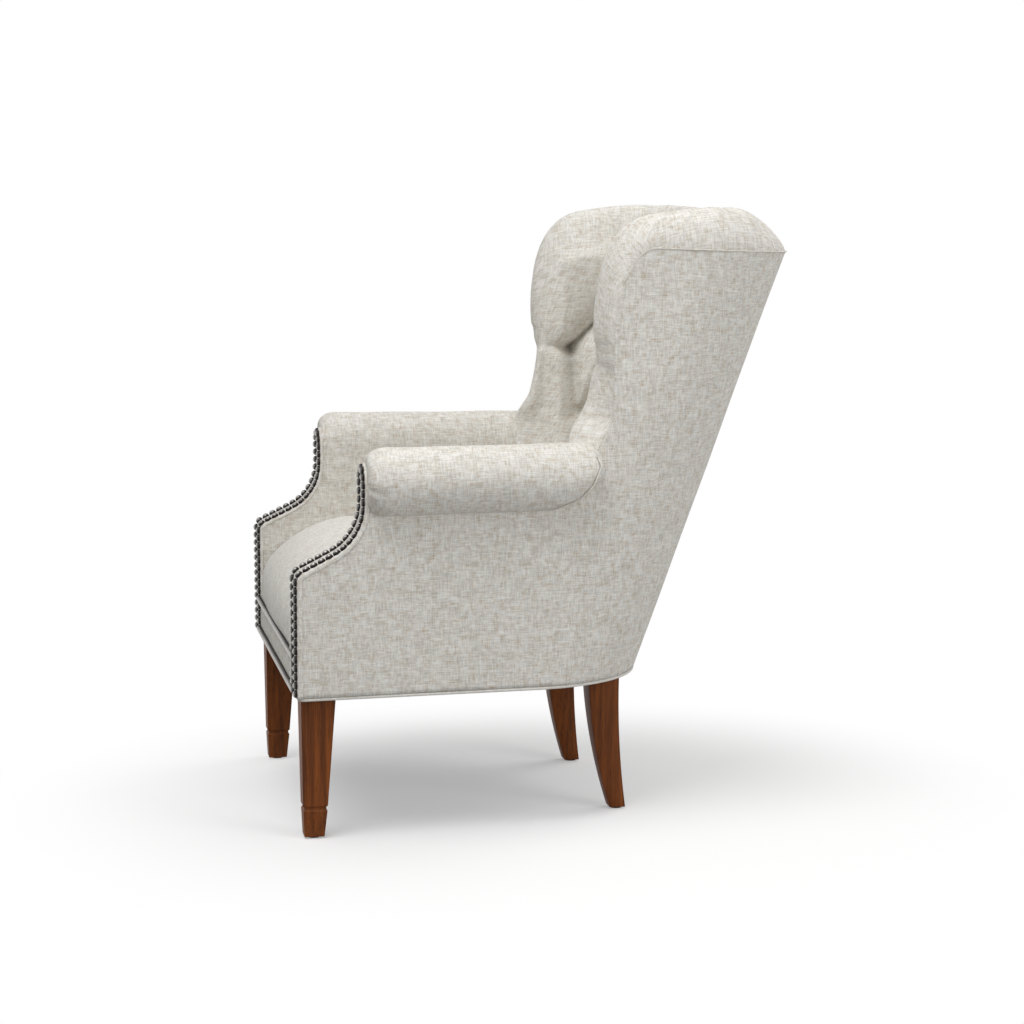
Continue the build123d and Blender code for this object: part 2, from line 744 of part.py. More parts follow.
# Arm pads: the roll round its rail, and the padding of the arm's inner face.
# The facing ends in a round head as wide as its strip, so the roll stands out beyond it.
slab_bottom = back_pad_bottom
head_half_width = (side_x(0, neck, head_height) - inner_arm_x(neck)) / 2
head_radius = head_half_width * cos(radians(side_taper))
for side, flip in sides:
    with BuildPart() as arm_pad:
        add(beyond_inner_arm(0, slab_bottom, roll_height))
        add(beyond_inner_arm(inner_arm_padding, slab_bottom, roll_height), mode=Mode.SUBTRACT)
        add(arm_cylinder(roll_radius, roll_height, neck + facing_thickness, arm_end, roll_front_round))
        with BuildPart(mode=Mode.SUBTRACT):
            add(outer_barrel(cover_thickness, base_height, arm_rail_bottom))
            add(beyond_inner_arm(inner_arm_padding, base_height, arm_rail_bottom), mode=Mode.INTERSECT)
        with BuildPart(mode=Mode.SUBTRACT):
            add(outer_barrel(frame_inset, arm_rail_bottom, arm_rail_top))
            add(beyond_inner_arm(inner_arm_padding, arm_rail_bottom, arm_rail_top), mode=Mode.INTERSECT)
        add(arm_side(facing_thickness, arm_end), mode=Mode.INTERSECT)
        if flip:
            mirror(about=Plane.YZ, mode=Mode.REPLACE)
    arm_pad.part.label = f"arm_pad_{side}"
    export_step(arm_pad.part, f"parts/arm_pad_{side}.step")

    with BuildPart() as arm_facing:
        add(outer_barrel(0, base_height, head_height))
        add(beyond_inner_arm(0, base_height, head_height), mode=Mode.INTERSECT)
        add(arm_cylinder(head_radius, head_height, neck - overrun, neck + overrun, 0))
        add(arm_side(0, arm_end), mode=Mode.INTERSECT)
        add(arm_side(facing_thickness, far), mode=Mode.SUBTRACT)
        if flip:
            mirror(about=Plane.YZ, mode=Mode.REPLACE)
    arm_facing.part.label = f"arm_facing_{side}"
    export_step(arm_facing.part, f"parts/arm_facing_{side}.step")

# Outside panels run from the facings round to the back panel
for side, flip in sides:
    with BuildPart() as outside_panel:
        with BuildPart():
            add(wall(0, cover_thickness, base_height, top_seam_height))
            add(block((back_panel_half_width, -far, base_height), (far, far, top_seam_height)),
                mode=Mode.INTERSECT)
        with BuildPart(mode=Mode.INTERSECT):
            add(wing_side(0, 0))
            with BuildPart():
                add(arm_side(facing_thickness, arm_end))
                add(block((-far, -far, roll_height), (far, far, far)), mode=Mode.SUBTRACT)
        add(arm_cylinder(roll_radius, roll_height, neck - overrun, arm_end, 0), mode=Mode.SUBTRACT)
        if flip:
            mirror(about=Plane.YZ, mode=Mode.REPLACE)
    outside_panel.part.label = f"outside_panel_{side}"
    export_step(outside_panel.part, f"parts/outside_panel_{side}.step")

with BuildPart() as outside_back:
    add(wall(0, cover_thickness, base_height, top_seam_height))
    add(block((-back_panel_half_width, 0, base_height), (back_panel_half_width, far, top_seam_height)),
        mode=Mode.INTERSECT)
outside_back.part.label = "outside_back"
export_step(outside_back.part, "parts/outside_back.step")

border_half_width = inner_arm_x(rail_front)
with BuildPart() as front_border:
    add(block((-border_half_width, front, base_height), (border_half_width, rail_front, rail_top)))
front_border.part.label = "front_border"
export_step(front_border.part, "parts/front_border.step")

# Seat springs: serpentine wires on the rails, with a clip at each end and ties across
spring_axis = rail_top + spring_wire / 2
spring_start = rail_front + spring_end_inset
spring_half_run = (spring_loop_width - spring_loop_pitch) / 2


def spring_layout(x):
    """Loop count and pitch of a spring that ends on the rear rail, which curves forward at the sides."""
    aside = max(0, abs(x) - spring_loop_width / 2 - corner_half_span)
    reach = corner_y(rail_top) + sqrt((corner_radius - frame_inner) ** 2 - aside**2)
    length = reach + spring_end_inset - spring_start
    loops = round(length / spring_loop_pitch)
    return loops, length / loops


spring_places = [(step - (spring_count - 1) / 2) * spring_pitch for step in range(spring_count)]
springs = [(x, *spring_layout(x)) for x in spring_places]
with BuildPart() as seat_springs:
    for x, loops, pitch in springs:
        with BuildPart():
            wire_start = (x - spring_half_run, spring_start, spring_axis)
            with BuildSketch(Plane(origin=wire_start, z_dir=(1, 0, 0))):
                Circle(spring_wire / 2)
            with BuildLine(Plane.XY.offset(spring_axis)):
                for loop in range(loops + 1):
                    turn = 1 if loop % 2 == 0 else -1
                    y = spring_start + loop * pitch
                    Line((x - turn * spring_half_run, y), (x + turn * spring_half_run, y))
                    if loop < loops:
                        CenterArc((x + turn * spring_half_run, y + pitch / 2), pitch / 2, -90, 180 * turn)
            sweep()
seat_springs.part.label = "seat_springs"
export_step(seat_springs.part, "parts/seat_springs.step")

clip_bottom = rail_top + spring_wire
clip_leg_reach = (clip_length - clip_thickness) / 2
with BuildPart() as spring_clips:
    for x, loops, pitch in springs:
        for y in (spring_start, spring_start + loops * pitch):
            with Locations((x, y, clip_bottom + clip_thickness / 2)):
                Box(clip_width, clip_length, clip_thickness)
            with Locations((x, y - clip_leg_reach, spring_axis), (x, y + clip_leg_reach, spring_axis)):
                Box(clip_width, clip_thickness, spring_wire)
spring_clips.part.label = "spring_clips"
export_step(spring_clips.part, "parts/spring_clips.step")

tie_gap = springs[0][1] * springs[0][2] / (tie_count + 1)
with BuildPart() as spring_ties:
    for step in range(tie_count):
        tie_y = spring_start + tie_gap * (step + 1)
        with Locations(Location((0, tie_y, clip_bottom + tie_wire / 2), (0, 90, 0))):
            Cylinder(tie_wire / 2, tie_length)
spring_ties.part.label = "spring_ties"
export_step(spring_ties.part, "parts/spring_ties.step")


def seat_space(clearance, low, high, reach):
    """Room for the seat between the arms and inside the barrel, drawn out by reach to the rear."""
    near_y = front - 2 * seat_bulge
    rear_y = arm_end - soft_clearance + reach
    with BuildPart() as solid:
        with BuildSketch(Plane.XY.offset(low)):
            with BuildLine():
                Polyline((0, near_y), (inner_arm_x(near_y) - clearance, near_y),
                         (inner_arm_x(rear_y) - clearance, rear_y), (0, rear_y))
                mirror(about=Plane.YZ)
            make_face()
        extrude(amount=high - low)
        with BuildPart():
            add(inner_barrel(soft_clearance - reach, low, high))
            add(block((-far, rear_y, low), (far, far, high)), mode=Mode.INTERSECT)
    return solid.part


def seat_form(inset, low):
    """The crowned seat, its top, front and nose drawn in by inset, with sides that run past the arms."""
    nose_y = front - seat_bulge + inset
    half_width = inner_arm_front - soft_clearance
    crown_radius = (half_width**2 + seat_side_drop**2) / (2 * seat_side_drop) - inset
    bulge_radius = (half_width**2 + seat_bulge**2) / (2 * seat_bulge) - inset
    nose_radius = seat_nose_radius + seat_lap - inset
    nose_rise = seat_crown + seat_lap - inset - seat_nose_height
    fall = seat_rear_drop / (arm_end - front)
    start_y = nose_y - overrun
    crown = seat_crown - inset + fall * (seat_nose_radius + overrun)
    crown_turn = degrees(asin((half_width + overrun) / crown_radius))
    bulge_turn = degrees(asin((half_width + overrun) / bulge_radius))
    with BuildPart() as solid:
        with BuildSketch(Plane.YZ):
            with BuildLine():
                Line((nose_y - seat_lap, low), (nose_y - seat_lap, seat_nose_height))
                EllipticalCenterArc((nose_y - seat_lap + nose_radius, seat_nose_height), nose_radius,
                                    nose_rise, start_angle=180, arc_size=-90)
                nose_top = (nose_y - seat_lap + nose_radius, seat_nose_height + nose_rise)
                Polyline(nose_top, (far, nose_top[1]), (far, low), (nose_y - seat_lap, low))
            make_face()
        extrude(amount=half_width + overrun / 2, both=True)
        with BuildSketch(Plane.XZ.offset(-start_y)):
            with BuildLine() as crown_line:
                CenterArc((0, crown - crown_radius), crown_radius, 90 - crown_turn, 2 * crown_turn)
                side_point = crown_line.line @ 0
                Polyline((side_point.X, side_point.Y), (side_point.X, 0), (-side_point.X, 0),
                         (-side_point.X, side_point.Y))
            make_face()
        fall_direction = Vector(0, 1, -fall)
        extrude(amount=far * fall_direction.length, dir=fall_direction, mode=Mode.INTERSECT)
        with BuildSketch(Plane.XY.offset(low)):
            with BuildLine() as bulge_line:
                CenterArc((0, nose_y + bulge_radius), bulge_radius, bulge_turn - 90, -2 * bulge_turn)
                side_point = bulge_line.line @ 0
                Polyline((side_point.X, side_point.Y), (side_point.X, far), (-side_point.X, far),
                         (-side_point.X, side_point.Y))
            make_face()
        extrude(amount=far, mode=Mode.INTERSECT)
    return solid.part


# Seat deck, foam and cover
foam_inset = seat_cover_thickness
foam_clearance = foam_inset + soft_clearance
seat_top = seat_crown + overrun
with BuildPart() as seat_deck:
    add(seat_space(foam_clearance, deck_bottom, deck_top, 0))
    add(block((-far, front + foam_inset, deck_bottom), (far, far, deck_top)), mode=Mode.INTERSECT)
seat_deck.part.label = "seat_deck"
export_step(seat_deck.part, "parts/seat_deck.step")

with BuildPart() as seat_foam:
    add(seat_form(foam_inset, deck_top))
    add(seat_space(foam_clearance, deck_top, seat_top, 0), mode=Mode.INTERSECT)
seat_foam.part.label = "seat_foam"
export_step(seat_foam.part, "parts/seat_foam.step")

with BuildPart() as seat_cover:
    add(seat_form(0, rail_top))
    add(seat_space(soft_clearance, rail_top, seat_top, 0), mode=Mode.INTERSECT)
    with BuildPart(mode=Mode.SUBTRACT):
        add(seat_form(foam_inset, rail_top - overrun))
        add(seat_space(foam_clearance, rail_top - overrun, seat_top, overrun), mode=Mode.INTERSECT)
seat_cover.part.label = "seat_cover"
export_step(seat_cover.part, "parts/seat_cover.step")

# Welt cords: round the base, under the top roll and round the rear end of each arm roll
def welt_outline(inset, height, front_y):
    """Half of the body's outline, from a front corner or a side round to the middle of the rear."""
    radius = corner_radius - inset
    corner = (corner_half_span, corner_y(height))
    rear_y = corner[1] + radius
    tangent = (corner[0] + radius * cos(radians(side_taper)), corner[1] + radius * sin(radians(side_taper)))
    Line((side_x(inset, front_y, height), front_y), tangent)
    CenterArc(corner, radius, side_taper, 90 - side_taper)
    Line((corner_half_span, rear_y), (0, rear_y))


bottom_welt_y = front + welt_radius
welt_turn_y = bottom_welt_y + welt_corner_radius
welt_turn_x = side_x(welt_radius + welt_corner_radius, welt_turn_y, base_height)
welt_side_y = welt_turn_y + welt_corner_radius * sin(radians(side_taper))
with BuildPart() as bottom_welt:
    with BuildLine(Plane.XY.offset(base_height - welt_radius)):
        Line((0, bottom_welt_y), (welt_turn_x, bottom_welt_y))
        CenterArc((welt_turn_x, welt_turn_y), welt_corner_radius, -90, 90 + side_taper)
        welt_outline(welt_radius, base_height, welt_side_y)
        mirror(about=Plane.YZ)
    with BuildSketch(Plane(origin=(0, bottom_welt_y, base_height - welt_radius), z_dir=(1, 0, 0))):
        Circle(welt_radius)
    sweep()
bottom_welt.part.label = "bottom_welt"
export_step(bottom_welt.part, "parts/bottom_welt.step")

top_welt_height = top_seam_height - top_welt_radius
top_welt_outset = top_welt_radius / cos(radians(rake))
with BuildPart() as top_welt:
    with BuildLine(Plane.XY.offset(top_welt_height)) as top_path:
        welt_outline(-top_welt_outset, top_welt_height, wing_bend_end)
        mirror(about=Plane.YZ)
    with BuildSketch(Plane(origin=top_path.line @ 0, z_dir=top_path.line % 0)):
        Circle(top_welt_radius)
    sweep()
top_welt.part.label = "top_welt"
export_step(top_welt.part, "parts/top_welt.step")

roll_welt_reach = roll_radius + welt_radius
roll_welt_y = arm_end - welt_radius - roll_welt_reach * sin(radians(side_taper))
roll_welt_arc = (-17, -163)
for side, flip in sides:
    with BuildPart() as roll_end_welt:
        roll_plane = Plane(origin=(roll_x(roll_welt_y), roll_welt_y, roll_height), x_dir=(0, 0, -1),
                           z_dir=(-sin(radians(side_taper)), cos(radians(side_taper)), 0))
        with BuildLine(roll_plane) as roll_path:
            CenterArc((0, 0), roll_welt_reach, *roll_welt_arc)
        with BuildSketch(Plane(origin=roll_path.line @ 0, z_dir=roll_path.line % 0)):
            Circle(welt_radius)
        sweep()
        if flip:
            mirror(about=Plane.YZ, mode=Mode.REPLACE)
    roll_end_welt.part.label = f"roll_end_welt_{side}"
    export_step(roll_end_welt.part, f"parts/roll_end_welt_{side}.step")


def facing_nail(x, y, height, tilt):
    """Location of a nail on the arm's front."""
    return nail_location((x, y, height), (0, -cos(radians(tilt)), sin(radians(tilt))))


# Facing nails: up the inner edge, round the head and down the outer edge
arch_radius = head_half_width - nail_edge
arch_nail_turn = degrees(nail_pitch / arch_radius)
row_end = face_length() + head_height - neck_height
nail_spots = []
for along in spread(nail_edge, row_end, nail_pitch):
    y, height, tilt = face_point(along)
    nail_spots.append(facing_nail(inner_arm_x(y) + nail_edge, y, height, tilt))
for turn in spread(180, 0, arch_nail_turn)[1:]:
    height = head_height + arch_radius * sin(radians(turn))
    middle = inner_arm_x(neck) + head_half_width
    nail_spots.append(facing_nail(middle + arch_radius * cos(radians(turn)), neck, height, 0))
for along in spread(row_end, nail_edge, nail_pitch)[1:]:
    y, height, tilt = face_point(along)
    nail_spots.append(facing_nail(side_x(nail_edge, y, height), y, height, tilt))
for side, flip in sides:
    with BuildPart() as facing_nails:
        with Locations(*nail_spots):
            add(nail.part)
        if flip:
            mirror(about=Plane.YZ, mode=Mode.REPLACE)
    facing_nails.part.label = f"facing_nails_{side}"
    export_step(facing_nails.part, f"parts/facing_nails_{side}.step")

border_nail_end = border_half_width - nail_edge
with BuildPart() as border_nails:
    for height in (base_height + nail_edge, rail_top - nail_edge):
        with Locations(*[nail_location((x, front, height), (0, -1, 0))
                         for x in spread(-border_nail_end, border_nail_end, nail_pitch)]):
            add(nail.part)
border_nails.part.label = "border_nails"
export_step(border_nails.part, "parts/border_nails.step")

# Dust cover under the frame, with openings for the legs
dust_cover_bottom = base_height - dust_cover_thickness
with BuildPart() as dust_cover:
    add(outer_barrel(dust_cover_inset, dust_cover_bottom, base_height))
    add(block((-far, front + dust_cover_inset, dust_cover_bottom), (far, far, base_height)),
        mode=Mode.INTERSECT)
    with BuildPart(mode=Mode.SUBTRACT):
        add(block((leg_side - leg_top_size - leg_opening, -far, 0),
                  (far, leg_front + leg_top_size + leg_opening, base_height)))
        add(block((rear_leg_inner_top - leg_opening, rear_leg_front_top - leg_opening, 0),
                  (rear_leg_outer_top + leg_opening, rear_leg_rear_top + leg_opening, base_height)))
        mirror(about=Plane.YZ)
dust_cover.part.label = "dust_cover"
export_step(dust_cover.part, "parts/dust_cover.step")

staple_y = front + staple_inset
staple_spots = [(x, staple_y, 0) for x in spread(-staple_span, staple_span, staple_pitch)]
staple_spots += [(x, corner_y(base_height) + corner_radius - staple_inset, 0)
                 for x in spread(-corner_half_span, corner_half_span, staple_pitch)]
for turn in (1, -1):
    staple_spots += [(turn * side_x(staple_inset, y, base_height), y, 90 + turn * side_taper)
                     for y in spread(-staple_span - staple_pitch, 0, staple_pitch)]
with BuildPart() as dust_cover_staples:
    with Locations(*[Location((x, y, dust_cover_bottom - staple_wire / 2), (0, 0, angle))
                     for x, y, angle in staple_spots]):
        Box(staple_length, staple_wire, staple_wire)
dust_cover_staples.part.label = "dust_cover_staples"
export_step(dust_cover_staples.part, "parts/dust_cover_staples.step")
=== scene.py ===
from math import cos, hypot, pi, radians, sin, sqrt, tan

import bmesh
import bpy
import numpy as np
from mathutils import Matrix, Vector


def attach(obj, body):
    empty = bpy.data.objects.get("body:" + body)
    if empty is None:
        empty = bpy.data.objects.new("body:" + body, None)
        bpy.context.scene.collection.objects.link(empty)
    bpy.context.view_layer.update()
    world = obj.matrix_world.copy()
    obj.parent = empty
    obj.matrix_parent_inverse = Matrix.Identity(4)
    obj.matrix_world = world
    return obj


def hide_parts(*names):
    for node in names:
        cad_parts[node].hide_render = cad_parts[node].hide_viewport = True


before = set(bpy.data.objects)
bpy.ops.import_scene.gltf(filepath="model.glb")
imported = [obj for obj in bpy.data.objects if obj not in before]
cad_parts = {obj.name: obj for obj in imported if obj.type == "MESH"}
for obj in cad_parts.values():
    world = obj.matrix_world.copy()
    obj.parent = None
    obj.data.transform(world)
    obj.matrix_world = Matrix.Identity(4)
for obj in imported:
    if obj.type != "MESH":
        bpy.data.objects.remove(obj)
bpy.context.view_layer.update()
print("frame loaded:", len(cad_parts), "nodes")


# The chair's plan in metres: sides that taper to the rear, round rear corners, a raked back
chair = {
    "body": "chair",
    "front": -0.437,
    "taper": radians(5),
    "cornerRadius": 0.235,
    "halfSpan": 0.1,
    "cornerAtBase": -0.044,
    "base": 0.245,
    "railTop": 0.318,
    "topSeam": 0.985,
    "rake": tan(radians(20.1)),
    "innerRake": tan(radians(23.3)),
    "wing": 0.095,
    "arm": 0.058,
    "armTop": 0.661,
    "roll": 0.057,
    "neck": -0.322,
    "neckHeight": 0.567,
    "sweep": 0.094,
    "sweepSlope": radians(26.5),
    "cornerEase": 0.018,
    "headHeight": 0.600,
    "wingSeam": 0.106,
    "bendDepth": 0.072,
    "bendHeight": 0.830,
    "backPanel": 0.110,
    "seamRun": 0.27,
    "seamLift": 0.004,
    "seamFall": 0.011,
}
taper, halfSpan, cornerRadius = chair["taper"], chair["halfSpan"], chair["cornerRadius"]
base, topSeam, bendHeight = chair["base"], chair["topSeam"], chair["bendHeight"]
neck, roll = chair["neck"], chair["roll"]
rollHeight = chair["armTop"] - roll
innerRadius = cornerRadius - chair["wing"]
quarter = pi / 2 - taper     # the turn of a round rear corner
bendRise = topSeam - bendHeight
sides = (("left", False), ("right", True))       # each side's name, and whether it is the mirrored one


def cornerY(z):
    return chair["cornerAtBase"] + (z - base) * chair["rake"]


def innerCornerY(z):
    return cornerY(topSeam) - (topSeam - z) * chair["innerRake"]


def sideX(y, z):     # the straight outer side
    tangentY = cornerY(z) + cornerRadius * sin(taper)
    return halfSpan + cornerRadius * cos(taper) + (tangentY - y) * tan(taper)


innerArmFront = sideX(chair["front"], base) - chair["arm"]


def innerArmX(y):    # the arm's upright inner face
    return innerArmFront - (y - chair["front"]) * tan(taper)


def rollX(y):        # the arm roll's axis
    return innerArmX(y) + roll / cos(taper)


def innerCurve(along, z):    # place and sitter's side normal of the inside back, at a length from the middle
    side = np.where(along < 0, -1.0, 1.0)
    length = np.abs(along)
    turn = np.clip((length - halfSpan) / innerRadius, 0, quarter)
    run = np.maximum(length - halfSpan - innerRadius * quarter, 0)
    x = np.minimum(length, halfSpan) + innerRadius * np.sin(turn) + run * sin(taper)
    y = innerCornerY(z) + innerRadius * np.cos(turn) - run * cos(taper)
    return side * x, y, -side * np.sin(turn), -np.cos(turn)


def alongAt(y, z):   # length from the middle to where the inside back reaches a place y
    ahead = (y - innerCornerY(z)) / innerRadius
    turn = np.arccos(np.clip(ahead, sin(taper), 1))
    run = np.maximum(sin(taper) - ahead, 0) * innerRadius / cos(taper)
    return halfSpan + innerRadius * turn + run


def stacked(*values):        # one row for each point
    return np.stack(values, axis=1)


def readOff(table, value):   # a value between the pairs of a table
    return np.interp(value, *zip(*table))


def smoothStep(low, high, value):
    share = np.clip((value - low) / (high - low), 0, 1)
    return share * share * (3 - 2 * share)


def roundedSquare(outward, upward):  # a square's shares, drawn in so that its far corner becomes a round
    return outward * np.sqrt(1 - upward**2 / 2), upward * np.sqrt(1 - outward**2 / 2)


def averaged(line, window):  # a line of values smoothed over a window, its ends kept in place
    reach = len(window) // 2
    return np.convolve(np.pad(line, reach, "reflect", reflect_type="odd"), window / window.sum(), "valid")


def softNoise(points, height, size, seed):   # slow unevenness that every stuffed or pulled cloth has
    x, y, z = (points[:, axis] / size for axis in range(3))
    wave = np.sin(x * 2.1 + y * 1.3 + seed) + np.sin(y * 2.7 - z * 1.9 + 2.3 * seed)
    return height * (wave + np.sin(z * 2.4 + x * 1.1 + 1.7 * seed)) / 3


def settleTop(points):       # the top seam falls a little from the wings to the rear
    away = np.clip((points[:, 1] - chair["wingSeam"] - chair["bendDepth"]) / chair["seamRun"], 0, 1)
    lift = chair["seamLift"] - chair["seamFall"] * away
    points[:, 2] += lift * smoothStep(bendHeight, topSeam, points[:, 2])
    return points


# Mesh helpers
def startGrid(across, up):   # a flat grid, with the share across and up of each of its points
    made = bmesh.new()
    bmesh.ops.create_grid(made, x_segments=across, y_segments=up, size=0.5)
    shares = np.array([vert.co[:2] for vert in made.verts]) + 0.5
    return made, shares[:, 0], shares[:, 1]


def layCloth(made, points, lengths):     # puts a grid's points in place and notes their cloth coordinates
    cloth = made.verts.layers.float_vector.new("cloth")
    for vert, point, length in zip(made.verts, points, lengths):
        vert.co = point
        vert[cloth] = (*length, 0)
    return cloth


def clothGrid(across, up, place):    # a grid whose points and cloth coordinates place(u, v) gives
    made, u, v = startGrid(across, up)
    layCloth(made, *place(u, v))
    return made


def weaveMap(made):  # writes the cloth coordinates as the piece's own map
    cloth = made.verts.layers.float_vector["cloth"]
    mapLayer = made.loops.layers.uv.new("cloth")
    for face in made.faces:
        for corner in face.loops:
            corner[mapLayer].uv = corner.vert[cloth][:2]


def turnOut(made, outward):  # a sheet's faces point to the side that is seen
    made.normal_update()
    if sum(face.normal.dot(outward(face.calc_center_median())) * face.calc_area() for face in made.faces) < 0:
        bmesh.ops.reverse_faces(made, faces=made.faces)


def openEdges(made):
    return [edge for edge in made.edges if edge.is_boundary]


def extrudeRim(made, edges):     # the new points and the new edges
    grown = bmesh.ops.extrude_edge_only(made, edges=edges)["geom"]
    return ([item for item in grown if isinstance(item, bmesh.types.BMVert)],
            [item for item in grown if isinstance(item, bmesh.types.BMEdge)])


def closeUp(made, merge, corners):       # joins what meets within a distance, and fills the open ends
    bmesh.ops.remove_doubles(made, verts=made.verts, dist=merge)
    bmesh.ops.holes_fill(made, edges=openEdges(made), sides=corners)
    bmesh.ops.recalc_face_normals(made, faces=made.faces)


def mirrored(made):
    bmesh.ops.scale(made, vec=(-1, 1, 1), verts=made.verts)
    bmesh.ops.reverse_faces(made, faces=made.faces)


def finishPiece(name, made, material, replaced):
    for face in made.faces:
        face.smooth = True
    mesh = bpy.data.meshes.new(name)
    made.to_mesh(mesh)
    made.free()
    piece = bpy.data.objects.new(name, mesh)
    bpy.context.scene.collection.objects.link(piece)
    mesh.materials.append(material)
    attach(piece, chair["body"])
    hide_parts(*replaced)
    return piece


def finishCover(name, made, material, replaced, thickness, flip=False):
    if flip:
        mirrored(made)
    weaveMap(made)
    piece = finishPiece(name, made, material, replaced)
    shell = piece.modifiers.new("Shell", "SOLIDIFY")
    shell.thickness = thickness
    shell.offset = -1
    return piece


def makeSheet(name, grid, place, outward, material, replaced, thickness, flip=False):
    made = clothGrid(*grid, place)
    bmesh.ops.remove_doubles(made, verts=made.verts, dist=0.00005)
    turnOut(made, outward)
    return finishCover(name, made, material, replaced, thickness, flip)


def spread(start, end, pitch):
    count = max(1, round(abs(end - start) / pitch))
    return [start + (end - start) * step / count for step in range(count + 1)]


# Shader maths: an expression on signals adds its nodes
class Signal:
    def __init__(self, tree, socket):
        self.tree = tree
        self.socket = socket

    def node(self, kind, settings, sockets, output=0):
        made = self.tree.nodes.new(kind)
        for key, value in settings.items():
            setattr(made, key, value)
        for key, value in sockets.items():
            if isinstance(value, Signal):
                self.tree.links.new(value.socket, made.inputs[key])
            else:
                made.inputs[key].default_value = value
        return Signal(self.tree, made.outputs[output])

    def maths(self, operation, first, second):
        return self.node("ShaderNodeMath", {"operation": operation}, {0: first, 1: second})

    def __add__(self, other):
        return self.maths("ADD", self, other)

    def __radd__(self, other):
        return self.maths("ADD", other, self)

    def __sub__(self, other):
        return self.maths("SUBTRACT", self, other)

    def __rsub__(self, other):
        return self.maths("SUBTRACT", other, self)

    def __mul__(self, other):
        return self.maths("MULTIPLY", self, other)

    def __rmul__(self, other):
        return self.maths("MULTIPLY", other, self)

    def scaled(self, scale):
        return self.node("ShaderNodeVectorMath", {"operation": "MULTIPLY"}, {0: self, 1: scale})

    def noise(self, scale, detail, rough):
        return self.node("ShaderNodeTexNoise", {"noise_dimensions": "3D"},
                         {"Vector": self.scaled(scale), "Scale": 1.0, "Detail": detail, "Roughness": rough})

    def between(self, low, high):
        return self.node("ShaderNodeMapRange", {"interpolation_type": "SMOOTHSTEP"},
                         {"Value": self, "From Min": low, "From Max": high})

    def colours(self, first, second):     # this signal chooses between two colours
        shades = [shade if isinstance(shade, Signal) else (*shade, 1) for shade in (first, second)]
        return self.node("ShaderNodeMix", {"data_type": "RGBA"}, {0: self, 6: shades[0], 7: shades[1]}, 2)


def startMaterial(name, coordinates):
    material = bpy.data.materials.new(name)
    material.use_nodes = True
    tree = material.node_tree
    if coordinates == "cloth":
        source = tree.nodes.new("ShaderNodeUVMap")
        source.uv_map = "cloth"
        start = Signal(tree, source.outputs["UV"])
    else:
        source = tree.nodes.new("ShaderNodeTexCoord")
        start = Signal(tree, source.outputs["Object"])
    return material, tree.nodes["Principled BSDF"], start


def connect(shader, socket, signal):
    signal.tree.links.new(signal.socket, shader.inputs[socket])


def addBump(shader, height, strength, distance):
    bump = height.node("ShaderNodeBump", {}, {"Strength": strength, "Distance": distance, "Height": height})
    connect(shader, "Normal", bump)


linenLook = {
    "pale": (0.862, 0.845, 0.795),
    "grey": (0.400, 0.378, 0.330),
    "tan": (0.460, 0.330, 0.190),
    "light": (0.900, 0.895, 0.880),
    "greyShare": 0.30,
    "roughness": 0.92,
    "specular": 0.2,
    "bump": 0.45,
    "bumpHeight": 0.0007,
}
linenNoises = {      # scale, detail and roughness, and the range of the noise that goes from none to all
    "warp": ((500, 62, 300), 2, 0.6, 0.34, 0.66),
    "weft": ((62, 500, 300), 2, 0.6, 0.34, 0.66),
    "warpBand": ((200, 26, 150), 2, 0.5, 0.36, 0.66),
    "weftBand": ((26, 200, 150), 2, 0.5, 0.36, 0.66),
    "mottle": ((42, 42, 42), 4, 0.62, 0.34, 0.68),
    "cloud": ((12, 12, 12), 3, 0.55, 0.30, 0.72),
    "weftSlub": ((60, 520, 90), 2, 0.6, 0.56, 0.70),
    "warpSlub": ((520, 60, 60), 2, 0.6, 0.58, 0.72),
    "slubPlace": ((75, 75, 75), 4, 0.62, 0.44, 0.64),
    "warpLight": ((380, 26, 80), 1, 0.5, 0.62, 0.72),
    "weftLight": ((26, 380, 80), 1, 0.5, 0.62, 0.72),
}


def makeLinen(name, slubs=1.0, contrast=1.0, shade=0.0):
    material, shader, place = startMaterial(name, "cloth")
    part = {key: place.noise(*noise[:3]).between(*noise[3:]) for key, noise in linenNoises.items()}
    fine = part["warp"] * 0.5 + part["weft"] * 0.5
    band = part["warpBand"] * 0.5 + part["weftBand"] * 0.5
    woven = fine * 0.56 + band * 0.28 + part["mottle"] * 0.13 + part["cloud"] * 0.05
    tone = (woven - 0.5) * contrast + (linenLook["greyShare"] + shade)
    ground = tone.colours(linenLook["pale"], linenLook["grey"])
    stain = part["slubPlace"] * (fine * 0.7 + 0.15) * (0.42 * slubs)
    streaks = (part["weftSlub"] + part["warpSlub"] * 0.8) * (0.55 * slubs)
    slub = streaks * (part["slubPlace"] * 0.85 + 0.15) + stain
    tinted = slub.colours(ground, linenLook["tan"])
    bright = (part["warpLight"] + part["weftLight"]) * (0.45 * contrast)
    connect(shader, "Base Color", bright.colours(tinted, linenLook["light"]))
    shader.inputs["Roughness"].default_value = linenLook["roughness"]
    shader.inputs["Specular IOR Level"].default_value = linenLook["specular"]
    threads = place.noise((900, 120, 300), 1, 0.5) + place.noise((120, 900, 300), 1, 0.5)
    addBump(shader, threads + fine * 0.7 + slub * 0.6, linenLook["bump"], linenLook["bumpHeight"])
    return material


